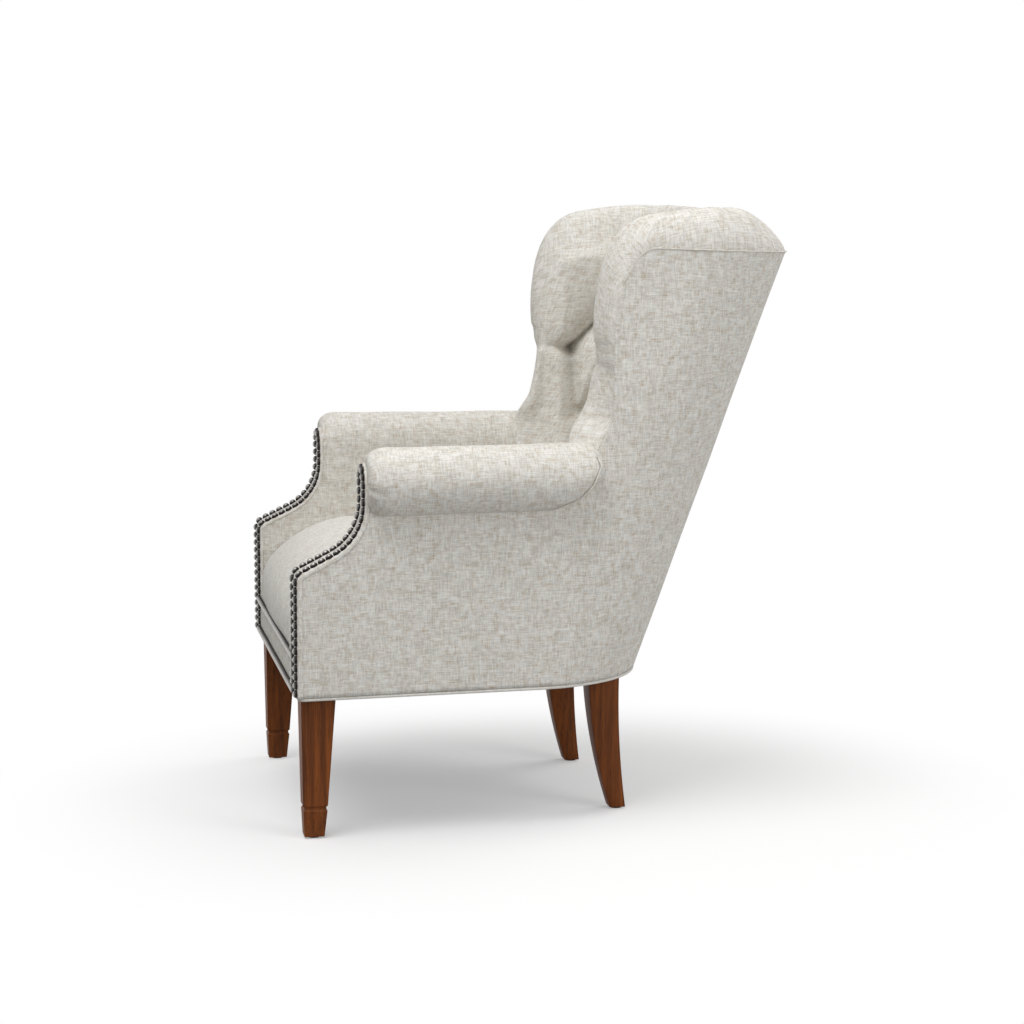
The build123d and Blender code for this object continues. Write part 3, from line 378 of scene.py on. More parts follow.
def makeWood(name, dark, light, grainSize, gloss):
    material, shader, place = startMaterial(name, "object")
    warped = place.noise((9, 9, 1.2), 3, 0.55)
    grain = place.noise((grainSize, grainSize, 5), 4, 0.62)
    pores = place.noise((grainSize * 7, grainSize * 7, 26), 2, 0.6).between(0.56, 0.72)
    ground = (warped * 0.55 + grain * 0.65).between(0.38, 0.82).colours(dark, light)
    connect(shader, "Base Color", (pores * 0.7).colours(ground, tuple(0.4 * part for part in dark)))
    connect(shader, "Roughness", grain * 0.25 + (gloss - 0.1))
    shader.inputs["Specular IOR Level"].default_value = 0.18
    addBump(shader, grain * 0.6 - pores * 0.8, 0.18, 0.0006)
    return material


def makeMetal(name, dark, bright, roughness, scratch):
    material, shader, place = startMaterial(name, "object")
    cloudy = place.noise((240, 240, 240), 3, 0.6)
    connect(shader, "Base Color", cloudy.between(0.3, 0.7).colours(dark, bright))
    connect(shader, "Roughness", cloudy * 0.2 + roughness)
    shader.inputs["Metallic"].default_value = 1.0
    addBump(shader, place.noise((900, 900, 900), 2, 0.6), scratch, 0.0002)
    return material


def makeNailMetalRimShaded(name, crown, edge):    # a polished crown, and a rim darkened by painted shade where the dome meets the cloth (edge is the colour of that painted shade), read from each nail's own map
    material, shader, place = startMaterial(name, "cloth")
    # the outer share of each dome fades to the edge colour: painted shade, not a colour of the metal
    rim = place.node("ShaderNodeSeparateXYZ", {}, {0: place}).between(0.45, 0.96)
    connect(shader, "Base Color", rim.colours(crown, edge))
    connect(shader, "Roughness", rim * 0.30 + 0.17)
    shader.inputs["Metallic"].default_value = 1.0
    return material


def makeCloth(name, pale, shade, threads, strength):     # a plain coarse cloth, on object coordinates
    material, shader, place = startMaterial(name, "object")
    first = place.noise((threads, threads / 14, threads / 14), 1, 0.5)
    second = place.noise((threads / 14, threads / 14, threads), 1, 0.5)
    weave = (first.between(0.35, 0.65) + second.between(0.35, 0.65)) * 0.5
    connect(shader, "Base Color", weave.colours(pale, shade))
    shader.inputs["Roughness"].default_value = 0.95
    addBump(shader, weave, strength, 0.0008)
    return material


def makeFoam(name, pale, shade):
    material, shader, place = startMaterial(name, "object")
    cells = place.noise((420, 420, 420), 3, 0.7)
    connect(shader, "Base Color", cells.between(0.3, 0.7).colours(pale, shade))
    shader.inputs["Roughness"].default_value = 1.0
    addBump(shader, cells, 0.5, 0.001)
    return material


linen = makeLinen("Linen")
seatLinen = makeLinen("PlainLinen", slubs=0.5, contrast=0.6, shade=-0.03)
weltLinen = makeLinen("WeltLinen", slubs=0.4, contrast=0.6, shade=-0.07)
walnut = makeWood("WalnutStain", (0.050, 0.0125, 0.0025), (0.245, 0.070, 0.014), grainSize=130, gloss=0.50)
frameWood = makeWood("FrameBeech", (0.42, 0.27, 0.15), (0.62, 0.44, 0.27), grainSize=90, gloss=0.6)
# the nails' second colour, nearly black, is painted shade on their rims
pewterRimShaded = makeNailMetalRimShaded("NailPewterRimShaded", (0.42, 0.40, 0.38), (0.020, 0.018, 0.017))
steel = makeMetal("SpringSteel", (0.38, 0.38, 0.38), (0.62, 0.62, 0.62), roughness=0.3, scratch=0.2)
burlap = makeCloth("Burlap", (0.52, 0.39, 0.22), (0.34, 0.24, 0.12), 700, 0.6)
webbing = makeCloth("JuteWebbing", (0.60, 0.47, 0.29), (0.40, 0.29, 0.16), 520, 0.7)
dustCloth = makeCloth("DustCloth", (0.030, 0.030, 0.031), (0.052, 0.052, 0.054), 900, 0.4)
deckCloth = makeCloth("DeckCloth", (0.62, 0.58, 0.50), (0.48, 0.44, 0.37), 800, 0.4)
foam = makeFoam("PaddingFoam", (0.78, 0.70, 0.47), (0.62, 0.53, 0.32))
glidePlastic = makeCloth("GlideNylon", (0.055, 0.050, 0.046), (0.075, 0.068, 0.060), 300, 0.1)
print("materials made")


# Tufting: buttons in staggered rows, valleys between them, pleats that run out to the wings' edges
tufts = {
    "pitch": 0.125,
    "rowPitch": 0.121,
    "topRow": 0.910,
    "rows": ((0, 1, 2), (0.5, 1.5, 2.5), (0, 1, 2), (0.5, 1.5)),
    "same": 0.01,
    "sink": 0.003,
    "puff": 0.032,
    "valleyWidth": 0.021,
    "crease": 0.0015,
    "fold": 0.009,
    "foldWidth": 0.005,
    "topRun": 0.2,
    "topStart": 0.022,
    "pit": 0.014,
    "pitRadius": 0.016,
    "pleat": 0.019,
    "pleatWidth": 0.009,
    "pleatEase": 0.002,
    "pleatEnd": 0.46,
    "buttonRadius": 0.011,
    "buttonRise": 0.005,
    "buttonSink": 0.0035,
    "clothShift": (0.037, 0.051),
}


def tuftSpots():     # along and height of every button
    places = [(column * tufts["pitch"], tufts["topRow"] - row * tufts["rowPitch"])
              for row, columns in enumerate(tufts["rows"]) for column in columns]
    return places + [(-x, z) for x, z in places if x > 0]


def segmentDistance(along, height, start, end):      # distance to a segment, and the share along it
    start = np.array(start)
    run = np.array(end) - start
    offset = stacked(along - start[0], height - start[1])
    share = np.clip(offset @ run / (run @ run), 0, 1)
    gap = offset - share[:, None] * run
    return np.hypot(gap[:, 0], gap[:, 1]), share


def tuftDepth(along, height):
    # how far the cloth stands proud of the deepest stitching, with soft valleys and sharp pits
    spots = tuftSpots()
    lastRow = min(z for x, z in spots)
    valley = np.full(len(along), 1.0)
    for x, z in spots:
        for lean in (-1, 1):     # a valley runs down to a button, or off below the last row
            end = (x + lean * tufts["pitch"] / 2, z - tufts["rowPitch"])
            nearest = min(hypot(end[0] - spot[0], end[1] - spot[1]) for spot in spots)
            if z <= lastRow + tufts["same"] or nearest <= tufts["same"]:
                valley = np.minimum(valley, segmentDistance(along, height, (x, z), end)[0])
        if z > tufts["topRow"] - tufts["same"]:      # over the top row it fades out upward
            gap, share = segmentDistance(along, height, (x, z), (x, z + tufts["topRun"]))
            valley = np.minimum(valley, gap + tufts["topStart"] + share * tufts["topRun"])
    rounded = np.sqrt(valley**2 + tufts["crease"]**2) - tufts["crease"]
    proud = tufts["puff"] * (1 - np.exp(-rounded / tufts["valleyWidth"]))
    proud = proud - tufts["fold"] * np.exp(-rounded / tufts["foldWidth"])
    for x, z in spots:
        away = np.hypot(along - x, height - z)
        proud = proud - tufts["pit"] * np.exp(-(away / tufts["pitRadius"])**2)
    pleatZ = tufts["topRow"] - tufts["rowPitch"]
    outermost = tufts["pitch"] * max(tufts["rows"][1])
    gap = segmentDistance(np.abs(along), height, (outermost, pleatZ), (tufts["pleatEnd"], pleatZ))[0]
    eased = np.sqrt(gap**2 + tufts["pleatEase"]**2) - tufts["pleatEase"]
    return proud - tufts["pleat"] * np.exp(-eased / tufts["pleatWidth"])


# Inside back: one cloth from the seat up over the top roll and round both wings' fronts
insideBack = {
    "bottom": 0.435,
    "seam": 0.1019,
    "grid": (208, 142),
    "size": (0.36, 0.55),
    "middleShare": 0.80,
    "rimTuft": (0.35, 0.035),
    "swell": (0.0012, 0.05, 1.0),
    "noseSteps": 20,
    "noseHeights": ((0.435, 0.034), (0.600, 0.042), (0.650, 0.0425), (0.665, 0.0405), (0.680, 0.037),
                    (0.700, 0.0315), (0.720, 0.0265), (0.742, 0.0215), (0.760, 0.0180), (0.785, 0.0150),
                    (0.800, 0.0165), (0.838, 0.0205), (0.860, 0.0225)),
    "bendHeights": ((0, 0.0225), (30, 0.031), (60, 0.043), (90, 0.056)),
    "topHeights": ((0, 0.056), (0.05, 0.060), (0.18, 0.068), (0.32, 0.075), (0.46, 0.073), (0.60, 0.072),
                   (1, 0.074)),
    "tucked": (0.602, 0.572),
    "tuckForward": 0.006,
    "tuckOver": 0.008,
    "leftFlare": 0.016,
    "flareHeights": (0.735, 0.665),
    "skewHead": (0.792, 0.776),
    "skewFoot": (0.645, 0.700),
    "skewCrest": (0.25, 0.60),
    "skewPower": 1.2,
    "skewBulge": 0.010,
    "skewFlat": 0.3,
    "pinch": 0.42,
    "pinchWidth": 0.0045,
    "pinchPower": 1.3,
    "pinchDepth": 0.7,
    "dip": 0.0035,
    "dipWidth": 0.016,
    "turnIn": 0.005,
    "turnBack": 0.0022,
    "clothRun": 1.55,
    "clothRise": 0.75,
    "seamPlaces": ((0.600, 0.058), (0.628, 0.068), (0.664, 0.086), (0.700, 0.104)),
    "blend": 0.02,
    "blendTurns": 3,
    "cover": 0.003,
}
innerBendY = insideBack["seam"] + chair["bendDepth"]
rakeLength = sqrt(1 + chair["innerRake"]**2)
nearEdge = 1e-4


def seamShift(z):    # how far the wing's front seam lies ahead of its upper place
    return readOff(insideBack["seamPlaces"], z) - insideBack["seamPlaces"][-1][1]


def backPlace(u, v):     # along, height and outward share, on a square whose upper corners are rounded
    side = np.where(u < 0.5, -1.0, 1.0)
    share = np.abs(2 * u - 1)
    middle = insideBack["middleShare"]
    height = insideBack["bottom"] + (topSeam - insideBack["bottom"]) * v
    onBend = height > bendHeight
    outward = np.clip((share - middle) / (1 - middle), 0, 1)
    roundOut, roundUp = roundedSquare(outward, np.clip((height - bendHeight) / bendRise, 0, 1))
    z = np.where(onBend, bendHeight + bendRise * roundUp, height)
    frontY = insideBack["seam"] - insideBack["tuckForward"] * smoothStep(*insideBack["tucked"], height)
    lowMiddle = alongAt(innerBendY, bendHeight) / alongAt(insideBack["seam"], bendHeight)
    lowAlong = lowMiddle * alongAt(frontY, z)
    bendY = np.where(onBend, innerBendY, innerCurve(lowAlong, z)[1])
    edgeAlong = alongAt(bendY + (frontY - bendY) * roundOut, z)
    middleAlong = np.where(onBend, alongAt(innerBendY, z), lowAlong)
    return side * np.where(share > middle, edgeAlong, middleAlong * share / middle), z, outward


def surfacePoint(along, z):      # the bare surface under the tufting and its outward direction
    x, y, nx, ny = innerCurve(along, z)
    lift = -ny * chair["innerRake"]
    size = np.sqrt(nx**2 + ny**2 + lift**2)
    return stacked(x, y, z), stacked(nx, ny, lift) / size[:, None]


def noseRise(z, crest, bendTurn, topShare):      # the roll's height and the way it stands, along the rim
    low = readOff(insideBack["noseHeights"], z)
    bend = readOff(insideBack["bendHeights"], np.degrees(bendTurn))
    height = np.where(crest, readOff(insideBack["topHeights"], topShare), np.where(bendTurn > 0, bend, low))
    forward = np.where(crest, 0, -np.cos(bendTurn) / chair["bendDepth"])
    upward = np.where(crest, 1, np.sin(bendTurn) / bendRise)
    size = np.hypot(forward, upward)
    return height, forward / size, upward / size


def rimRoll(along, z, points, crest):
    # for the rim's points, the function that lays one row of the roll and its cloth coordinates
    side = np.where(along < 0, -1.0, 1.0)
    bendTurn = np.where(crest, pi / 2, np.arcsin(np.clip((z - bendHeight) / bendRise, 0, 1)))
    topShare = np.clip(1 - np.abs(along) / alongAt(innerBendY, topSeam), 0, 1)
    height, forward, upward = noseRise(z, crest, bendTurn, topShare)
    flare = smoothStep(*insideBack["flareHeights"], z) * (side > 0) * ~crest
    height = height + insideBack["leftFlare"] * flare
    turn = np.where(crest, np.clip((np.abs(along) - halfSpan) / innerRadius, 0, quarter), quarter)
    across = stacked(side * np.sin(turn), np.cos(turn), 0 * turn)
    reach = (sideX(points[:, 1], z) - np.abs(points[:, 0])) * cos(taper)
    armReach = innerArmX(points[:, 1]) + insideBack["tuckOver"] - np.abs(points[:, 0])
    lowWidth = reach + (armReach - reach) * smoothStep(*insideBack["tucked"], z)
    width = np.where(crest, chair["wing"], lowWidth)
    up = stacked(0 * turn, forward, upward)
    up = up - across * np.sum(up * across, axis=1)[:, None]
    up = up / np.linalg.norm(up, axis=1)[:, None]
    offPleat = np.abs(z - tufts["topRow"] + tufts["rowPitch"]) / insideBack["pinchWidth"]
    pinch = insideBack["pinch"] * np.exp(-offPleat**insideBack["pinchPower"]) * ~crest
    dips = 0 * along
    for column in tufts["rows"][0]:
        offButton = (np.abs(along) - column * tufts["pitch"]) / insideBack["dipWidth"]
        dips = dips + insideBack["dip"] * np.exp(-offButton**2) * crest
    lowSkew = smoothStep(*insideBack["skewHead"], z) * smoothStep(*insideBack["skewFoot"], z)
    skew = np.where(crest, smoothStep(*insideBack["skewCrest"], topShare), lowSkew)

    def layRow(step):
        share = min(step / insideBack["noseSteps"], 1)
        fullness, outShare = sin(pi * share), (1 - cos(pi * share)) / 2
        sideways = width * outShare**(1 + insideBack["skewPower"] * skew)
        sideways = sideways - insideBack["skewBulge"] * skew * fullness
        rounded = fullness**(1 + insideBack["skewFlat"] * skew * (outShare > 0.5))
        lift = height * rounded * (1 - pinch * fullness * insideBack["pinchDepth"]) - dips * fullness
        row = points + across * sideways[:, None] + up * lift[:, None]
        row[:, 1] += seamShift(z) * outShare
        if step > insideBack["noseSteps"]:       # the last row turns in behind the outside panel
            row = row - up * insideBack["turnIn"] - across * insideBack["turnBack"]
        run = (width / 2 + height * insideBack["clothRise"]) * share * insideBack["clothRun"]
        clothUp = z * rakeLength + run * np.sin(bendTurn)
        return settleTop(row), stacked(along + side * run * np.cos(bendTurn), clothUp)

    return layRow


def makeInsideBack():
    made, u, v = startGrid(*insideBack["grid"])
    along, z, outward = backPlace(u, v)
    points, normals = surfacePoint(along, z)
    sizeAcross, sizeUp = insideBack["size"]
    rimGap = np.minimum((1 - np.abs(2 * u - 1)) * sizeAcross, (1 - v) * sizeUp)
    rimTuft, rimWidth = insideBack["rimTuft"]
    fade = rimTuft + (1 - rimTuft) * smoothStep(0.0, rimWidth, rimGap)
    proud = tuftDepth(along, z) * fade - tufts["sink"] + softNoise(points, *insideBack["swell"])
    shaped = settleTop(points + normals * proud[:, None])
    cloth = layCloth(made, shaped, stacked(along, z * rakeLength))

    # the rim goes from the right wing's foot over the crest to the left wing's, and the roll grows on it
    onRim = (u < nearEdge) | (u > 1 - nearEdge) | (v > 1 - nearEdge)
    crest = (v[onRim] > 1 - nearEdge) & (outward[onRim] <= 0)
    layRow = rimRoll(along[onRim], z[onRim], points[onRim], crest)
    rim = [vert for vert, chosen in zip(made.verts, onRim) if chosen]
    order = {vert: number for number, vert in enumerate(rim)}
    border = [edge for edge in openEdges(made) if any(v[vert.index] > nearEdge for vert in edge.verts)]
    for step in range(1, insideBack["noseSteps"] + 2):
        row, lengths = layRow(step)
        newVerts, newEdges = extrudeRim(made, border)
        fresh = {}
        for vert in newVerts:
            others = [link.other_vert(vert) for link in vert.link_edges]
            fresh[vert] = next(order[other] for other in others if other in order)
            vert.co = row[fresh[vert]]
            vert[cloth] = (*lengths[fresh[vert]], 0)
        border = [edge for edge in newEdges if all(vert in fresh for vert in edge.verts)]
        order = fresh

    blend = [vert for number, vert in enumerate(made.verts) if not vert.is_boundary
             and (number >= len(rimGap) or rimGap[number] < insideBack["blend"])]
    for turn in range(insideBack["blendTurns"]):
        bmesh.ops.smooth_vert(made, verts=blend, factor=0.5,
                              use_axis_x=True, use_axis_y=True, use_axis_z=True)
    turnOut(made, lambda place: Vector((0, -0.2, 0.75)) - place)
    piece = finishCover("inside_back_cover", made, linen, ("inside_back_pad", "top_roll"),
                        insideBack["cover"])
    return piece


insideBackCover = makeInsideBack()
print("inside back made:", len(insideBackCover.data.vertices), "points")


def makeButtons():
    made = bmesh.new()
    cloth = made.verts.layers.float_vector.new("cloth")
    along, height = np.array(tuftSpots()).T
    points, normals = surfacePoint(along, height)
    depths = tuftDepth(along, height) - tufts["sink"] - tufts["buttonSink"]
    shiftAcross, shiftUp = tufts["clothShift"]
    radius, rise = tufts["buttonRadius"], tufts["buttonRise"]
    for number, (point, normal, depth) in enumerate(zip(points, normals, depths)):
        ball = bmesh.ops.create_uvsphere(made, u_segments=18, v_segments=10, radius=radius)["verts"]
        bmesh.ops.scale(made, vec=(1, 1, rise / radius), verts=ball)
        for vert in ball:
            vert[cloth] = (vert.co.x + shiftAcross * number, vert.co.y + shiftUp * number, 0)
        toward = Vector(normal).to_track_quat("Z", "Y").to_matrix().to_4x4()
        bmesh.ops.transform(made, matrix=Matrix.Translation(point + normal * depth) @ toward, verts=ball)
    weaveMap(made)
    finishPiece("tufting_buttons", made, linen, ("back_buttons",))


makeButtons()


# Arms: padding that climbs the inner face and rolls over to the outside
armPad = {
    "bottom": 0.325,
    "grid": (150, 116),
    "crowding": 1.35,
    "behindFacing": 0.003,
    "frontRound": 0.033,
    "frontShrink": 0.022,
    "rearRound": 0.010,
    "rearShrink": 0.005,
    "roundFrom": (radians(178), radians(120)),
    "lastAngle": radians(-98),
    "rearPlaces": ((-98, -0.030), (-75, -0.005), (-57, 0.014), (-39, 0.038), (-10, 0.062), (21.6, 0.0755),
                   (40, 0.072), (60, 0.071), (90, 0.071), (120, 0.074), (150, 0.082), (180, 0.104)),
    "pleats": ((-62, 0.0075), (-14, 0.0065), (38, 0.0026), (112, 0.0026), (172, 0.0055)),
    "pleatWidth": 0.0034,
    "pleatRun": 0.020,
    "swell": (0.0012, 0.07, 3.0),
    "closing": (0.15, 0.45, 0.97),
    "rearOnward": (0.010, 0.005, 0.001),
    "frontEnd": neck + 0.0045,
    "rearEnd": -0.035,
    "rollBottom": rollHeight - roll - 0.001,
    "rearBottom": rollHeight - roll - 0.004,
    "shortest": 0.0006,
    "clothStep": 0.004,
    "cover": 0.003,
}


def sharpFront(along):       # place and height on the arm's front, at a length from the base
    sweep, slope = chair["sweep"], chair["sweepSlope"]
    startY = neck - sweep + sweep * sin(slope)
    startZ = chair["neckHeight"] - sweep * cos(slope)
    cornerZ = startZ - (startY - chair["front"]) * tan(slope)
    slopeRun = (startY - chair["front"]) / cos(slope)
    sweepRun = sweep * (pi / 2 - slope)
    run = along - (cornerZ - base)
    if run <= 0:
        return chair["front"], base + along
    if run <= slopeRun:
        return chair["front"] + run * cos(slope), cornerZ + run * sin(slope)
    if run <= slopeRun + sweepRun:
        angle = (run - slopeRun) / sweep - (pi / 2 - slope)
        return neck - sweep + sweep * cos(angle), chair["neckHeight"] + sweep * sin(angle)
    return neck, chair["neckHeight"] + run - slopeRun - sweepRun


def easedFront():    # the same line with its corner eased: lengths, places, heights and forward leans
    lengths = np.linspace(0, 0.6, 1201)      # every half millimetre, to past the head
    line = np.array([sharpFront(length) for length in lengths])
    reach = round(chair["cornerEase"] / lengths[1])
    y, z = (averaged(line[:, axis], np.hanning(2 * reach + 3)[1:-1]) for axis in range(2))
    return lengths, y, z, np.arctan2(np.gradient(y), np.gradient(z))


frontLengths, frontPlaces, frontHeights, frontLeans = easedFront()


def frontEdgeY(z):   # the arm's front edge in side view
    return np.interp(z, frontHeights, frontPlaces)


def armPlace(u, v):
    upright = rollHeight - armPad["bottom"]
    path = v * (upright + roll * (pi - armPad["lastAngle"]))
    onFace = path < upright
    angle = np.where(onFace, pi, pi - (path - upright) / roll)
    front = frontEdgeY(np.minimum(armPad["bottom"] + path, rollHeight)) + armPad["behindFacing"]
    rear = readOff(armPad["rearPlaces"], np.degrees(angle))
    y = front + (rear - front) * u**armPad["crowding"]
    corner = np.clip(1 - (y - front) / armPad["frontRound"], 0, 1)
    shrink = armPad["frontShrink"] * (1 - np.sqrt(1 - corner**2))
    shrink = shrink + armPad["rearShrink"] * np.clip(1 - (rear - y) / armPad["rearRound"], 0, 1)**2
    shrink = shrink * smoothStep(*armPad["roundFrom"], angle)
    for place, depth in armPad["pleats"]:
        off = np.abs(angle - radians(place)) * roll / armPad["pleatWidth"]
        shrink = shrink + depth * np.exp(-off**2) * np.exp(-(y - front) / armPad["pleatRun"])
    z = np.where(onFace, armPad["bottom"] + path, rollHeight + (roll - shrink) * np.sin(angle))
    x = np.where(onFace, innerArmX(y), rollX(y) + (roll - shrink) * np.cos(angle) / cos(taper))
    points = stacked(x, y, z)
    normal = stacked(np.where(onFace, -1, np.cos(angle)), 0 * y, np.where(onFace, 0, np.sin(angle)))
    return points + normal * softNoise(points, *armPad["swell"])[:, None], stacked(y, path)


def openEnd(made, end):      # the open edges round one end of the arm's roll
    limit = [(edge, *(vert.co for vert in edge.verts)) for edge in openEdges(made)]
    if end == "front":
        return [edge for edge, first, second in limit if max(first.y, second.y) < armPad["frontEnd"]
                and min(first.z, second.z) > armPad["rollBottom"]]
    return [edge for edge, first, second in limit if min(first.y, second.y) > armPad["rearEnd"]
            and min(first.z, second.z) > armPad["rearBottom"]
            and abs(first.x - second.x) + abs(first.z - second.z) > armPad["shortest"]]


def makeArm(side, flip):
    made = clothGrid(*armPad["grid"], armPlace)
    cloth = made.verts.layers.float_vector["cloth"]
    turnOut(made, lambda place: place - Vector((rollX(place.y), place.y, min(place.z, rollHeight))))
    for end in ("front", "rear"):    # both ends of the roll close in over soft corners
        for inward, onward in zip(armPad["closing"], armPad["rearOnward"]):
            for vert in extrudeRim(made, openEnd(made, end))[0]:
                vert.co = vert.co.lerp(Vector((rollX(vert.co.y), vert.co.y, rollHeight)), inward)
                vert.co.y += onward if end == "rear" else 0
                vert[cloth].x += armPad["clothStep"]
    piece = finishCover("arm_cover_" + side, made, linen, ("arm_pad_" + side,), armPad["cover"], flip)


# Facings: a strip up the swept front that ends in a round head and wraps on to the side
facing = {
    "edge": 0.003,
    "wrapOut": 0.0065,
    "wrapIn": 0.003,
    "proud": 0.0005,
    "crown": 0.0012,
    "rowPitch": 0.005,
    "straightShare": 0.86,
    "cover": 0.0022,
}
headHalf = (sideX(neck, chair["headHeight"]) - innerArmX(neck)) / 2
faceLength = float(np.interp(chair["headHeight"], frontHeights, frontLengths))


def facePoint(along):     # place, height and forward lean on the arm's front, at a length from the base
    return tuple(float(np.interp(along, frontLengths, values)) for values in (
        frontPlaces, frontHeights, frontLeans))


facingPath = ([("in", share) for share in (1.0, 0.6, 0.0)]
              + [("arcIn", step / 4) for step in range(1, 4)]
              + [("face", step / 10) for step in range(11)]
              + [("arcOut", step / 4) for step in range(1, 4)]
              + [("out", share) for share in (0.0, 0.5, 1.0)])


def facingSection(kind, share):      # inset from the side, depth behind the front, place from side to side
    edge = facing["edge"]
    start, end = edge * (1 - cos(share * pi / 2)), edge * (1 - sin(share * pi / 2))
    return {"in": (0.0, edge + facing["wrapIn"] * share, -1),
            "arcIn": (start, end, -1),
            "face": (edge, 0.0, 2 * share - 1),
            "arcOut": (end, start, 1),
            "out": (0.0, edge + facing["wrapOut"] * share, 1)}[kind]


def facingPlace(u, v):
    straight, proud = facing["straightShare"], facing["proud"]
    points, lengths = [], []
    for across, up in zip(u, v):
        kind, share = facingPath[round(across * (len(facingPath) - 1))]
        inset, back, lateral = facingSection(kind, share)
        along = faceLength * min(up / straight, 1)
        turn = max(up - straight, 0) / (1 - straight) * pi / 2
        y, z, lean = facePoint(along)
        middle = (innerArmX(y) + sideX(y, z)) / 2
        half = (sideX(y, z) - innerArmX(y)) / 2 * cos(turn)
        rise = headHalf * sin(turn)
        crown = facing["crown"] * (1 - lateral**2) if kind == "face" else 0.0
        forward = proud + crown - back
        outward = {"in": -proud, "out": proud}.get(kind, 0) * cos(turn)
        x = middle + lateral * max(half - inset, 0.0) + outward
        y -= forward * cos(lean)
        z += rise - inset * sin(turn) + forward * sin(lean)
        if kind == "out" and turn == 0:
            x = sideX(y, z) + proud
        points.append((x, y, z))
        lengths.append((lateral * half + (back if kind == "out" else -back), along + rise))
    return np.array(points), np.array(lengths)


def makeFacing(side, flip):
    rows = 2 * round(faceLength / facing["straightShare"] / facing["rowPitch"] / 2)
    makeSheet("facing_" + side, (len(facingPath) - 1, rows), facingPlace, lambda place: Vector((0, -1, 0.3)),
              linen, ("arm_facing_" + side,), facing["cover"], flip)


# Nails: high domes in rows that follow the facings and the border
nails = {
    "radius": 0.0071,
    "rise": 0.0074,
    "edge": 0.0078,
    "pitch": 0.0146,
    "lift": 0.0009,
    "profile": ((0.0, 1.0), (0.42, 0.92), (0.76, 0.67), (0.95, 0.32), (1.0, 0.0)),
    "sides": 10,
    "wobble": (0.035, 0.030),
}


def nailHead():
    head = bmesh.new()
    outline = [head.verts.new((nails["radius"] * across, 0, nails["rise"] * up))
               for across, up in nails["profile"]]
    edges = [head.edges.new(pair) for pair in zip(outline, outline[1:])]
    bmesh.ops.spin(head, geom=outline + edges, cent=(0, 0, 0), axis=(0, 0, 1), angle=2 * pi,
                   steps=nails["sides"], use_merge=True, use_duplicate=False, dvec=(0, 0, 0))
    bmesh.ops.remove_doubles(head, verts=head.verts, dist=0.00002)
    bmesh.ops.recalc_face_normals(head, faces=head.faces)
    mesh = bpy.data.meshes.new("nailHead")
    head.to_mesh(mesh)
    head.free()
    return mesh


def makeNails(name, spots, replaced):
    made = bmesh.new()
    cloth = made.verts.layers.float_vector.new("cloth")
    head = nailHead()
    wobbleX, wobbleY = nails["wobble"]
    for number, (point, outward) in enumerate(spots):
        before = set(made.verts)
        made.from_mesh(head)
        fresh = [vert for vert in made.verts if vert not in before]
        for vert in fresh:
            # each point's share out from the nail's centre, which sets where the painted shade on the rim
            # falls
            vert[cloth] = (hypot(vert.co.x, vert.co.y) / nails["radius"], 0, 0)
        lean = (Matrix.Rotation(wobbleX * sin(number * 12.9898), 4, "X")
                @ Matrix.Rotation(wobbleY * sin(number * 7.13), 4, "Y"))
        out = Vector(outward).normalized()
        turned = out.to_track_quat("Z", "Y").to_matrix().to_4x4() @ lean
        bmesh.ops.transform(made, matrix=Matrix.Translation(Vector(point) + out * nails["lift"]) @ turned,
                            verts=fresh)
    bpy.data.meshes.remove(head)
    weaveMap(made)
    finishPiece(name, made, pewterRimShaded, replaced)


def facingNailSpots(side):
    edge, pitch = nails["edge"], nails["pitch"]
    radius = headHalf - edge
    spots = []

    def add(x, y, z, lean):
        spots.append(((side * x, y, z), (0, -cos(lean), sin(lean))))

    for along in spread(edge, faceLength, pitch):
        y, z, lean = facePoint(along)
        add(innerArmX(y) + edge, y, z, lean)
    for turn in spread(pi, 0, pitch / radius)[1:]:
        x = innerArmX(neck) + headHalf + radius * cos(turn)
        add(x, neck, chair["headHeight"] + radius * sin(turn), 0)
    for along in spread(faceLength, edge, pitch)[1:]:
        y, z, lean = facePoint(along)
        add(sideX(y, z) - edge, y, z, lean)
    return spots


for side, flip in sides:
    makeArm(side, flip)
    makeFacing(side, flip)
    makeNails("nails_" + side, facingNailSpots(-1 if flip else 1), ("facing_nails_" + side,))


# Front border under the seat, with a row of nails along its bottom and its top
border = {
    "grid": (80, 24),
    "crown": 0.0016,
    "edge": 0.003,
    "edgeWidth": 0.004,
    "behind": 0.008,
    "underFacing": 0.001,
    "clear": 0.0005,
    "cover": 0.006,
}
borderHalf = innerArmX(chair["front"] + border["behind"])


def borderPlace(u, v):
    x = (2 * u - 1) * (borderHalf + border["underFacing"])
    z = base + border["clear"] + (chair["railTop"] - base) * v
    y = chair["front"] + border["clear"] - border["crown"] * 4 * v * (1 - v)
    for gap in (z - base, chair["railTop"] - z):
        y = y + border["edge"] * np.clip(1 - gap / border["edgeWidth"], 0, 1)**2
    return stacked(x, y, z), stacked(x, z)


borderEnd = borderHalf - nails["edge"]
borderSpots = [((x, chair["front"], z), (0, -1, 0))
               for z in (base + nails["edge"], chair["railTop"] - nails["edge"])
               for x in spread(-borderEnd, borderEnd, nails["pitch"])]
makeNails("nails_border", borderSpots, ("border_nails",))
print("arms, facings and nails made")


# Outside panels: one cloth from the arm's front round to the back panel
outside = {
    "grid": (132, 104),
    "backGrid": (56, 96),
    "backCloth": (0.7, 1.065),
    "length": 0.9,
    "foot": 0.001,
    "shelf": 0.598,
    "frontShare": 0.40,
    "bendShare": 0.50,
    "seam": 0.1062,
    "underFacing": 0.002,
    "seamDip": 0.0016,
    "edgeDip": 0.0018,
    "dipWidth": 0.0035,
    "swell": (0.0008, 0.09, 5.0),
    "backSwell": (0.0009, 0.08, 7.0),
    "sunk": 0.0002,
    "cover": 0.0035,
}
outsideBendY = outside["seam"] + chair["bendDepth"]


def outsideHeight(v):
    return base + outside["foot"] + (topSeam - base - outside["foot"]) * v


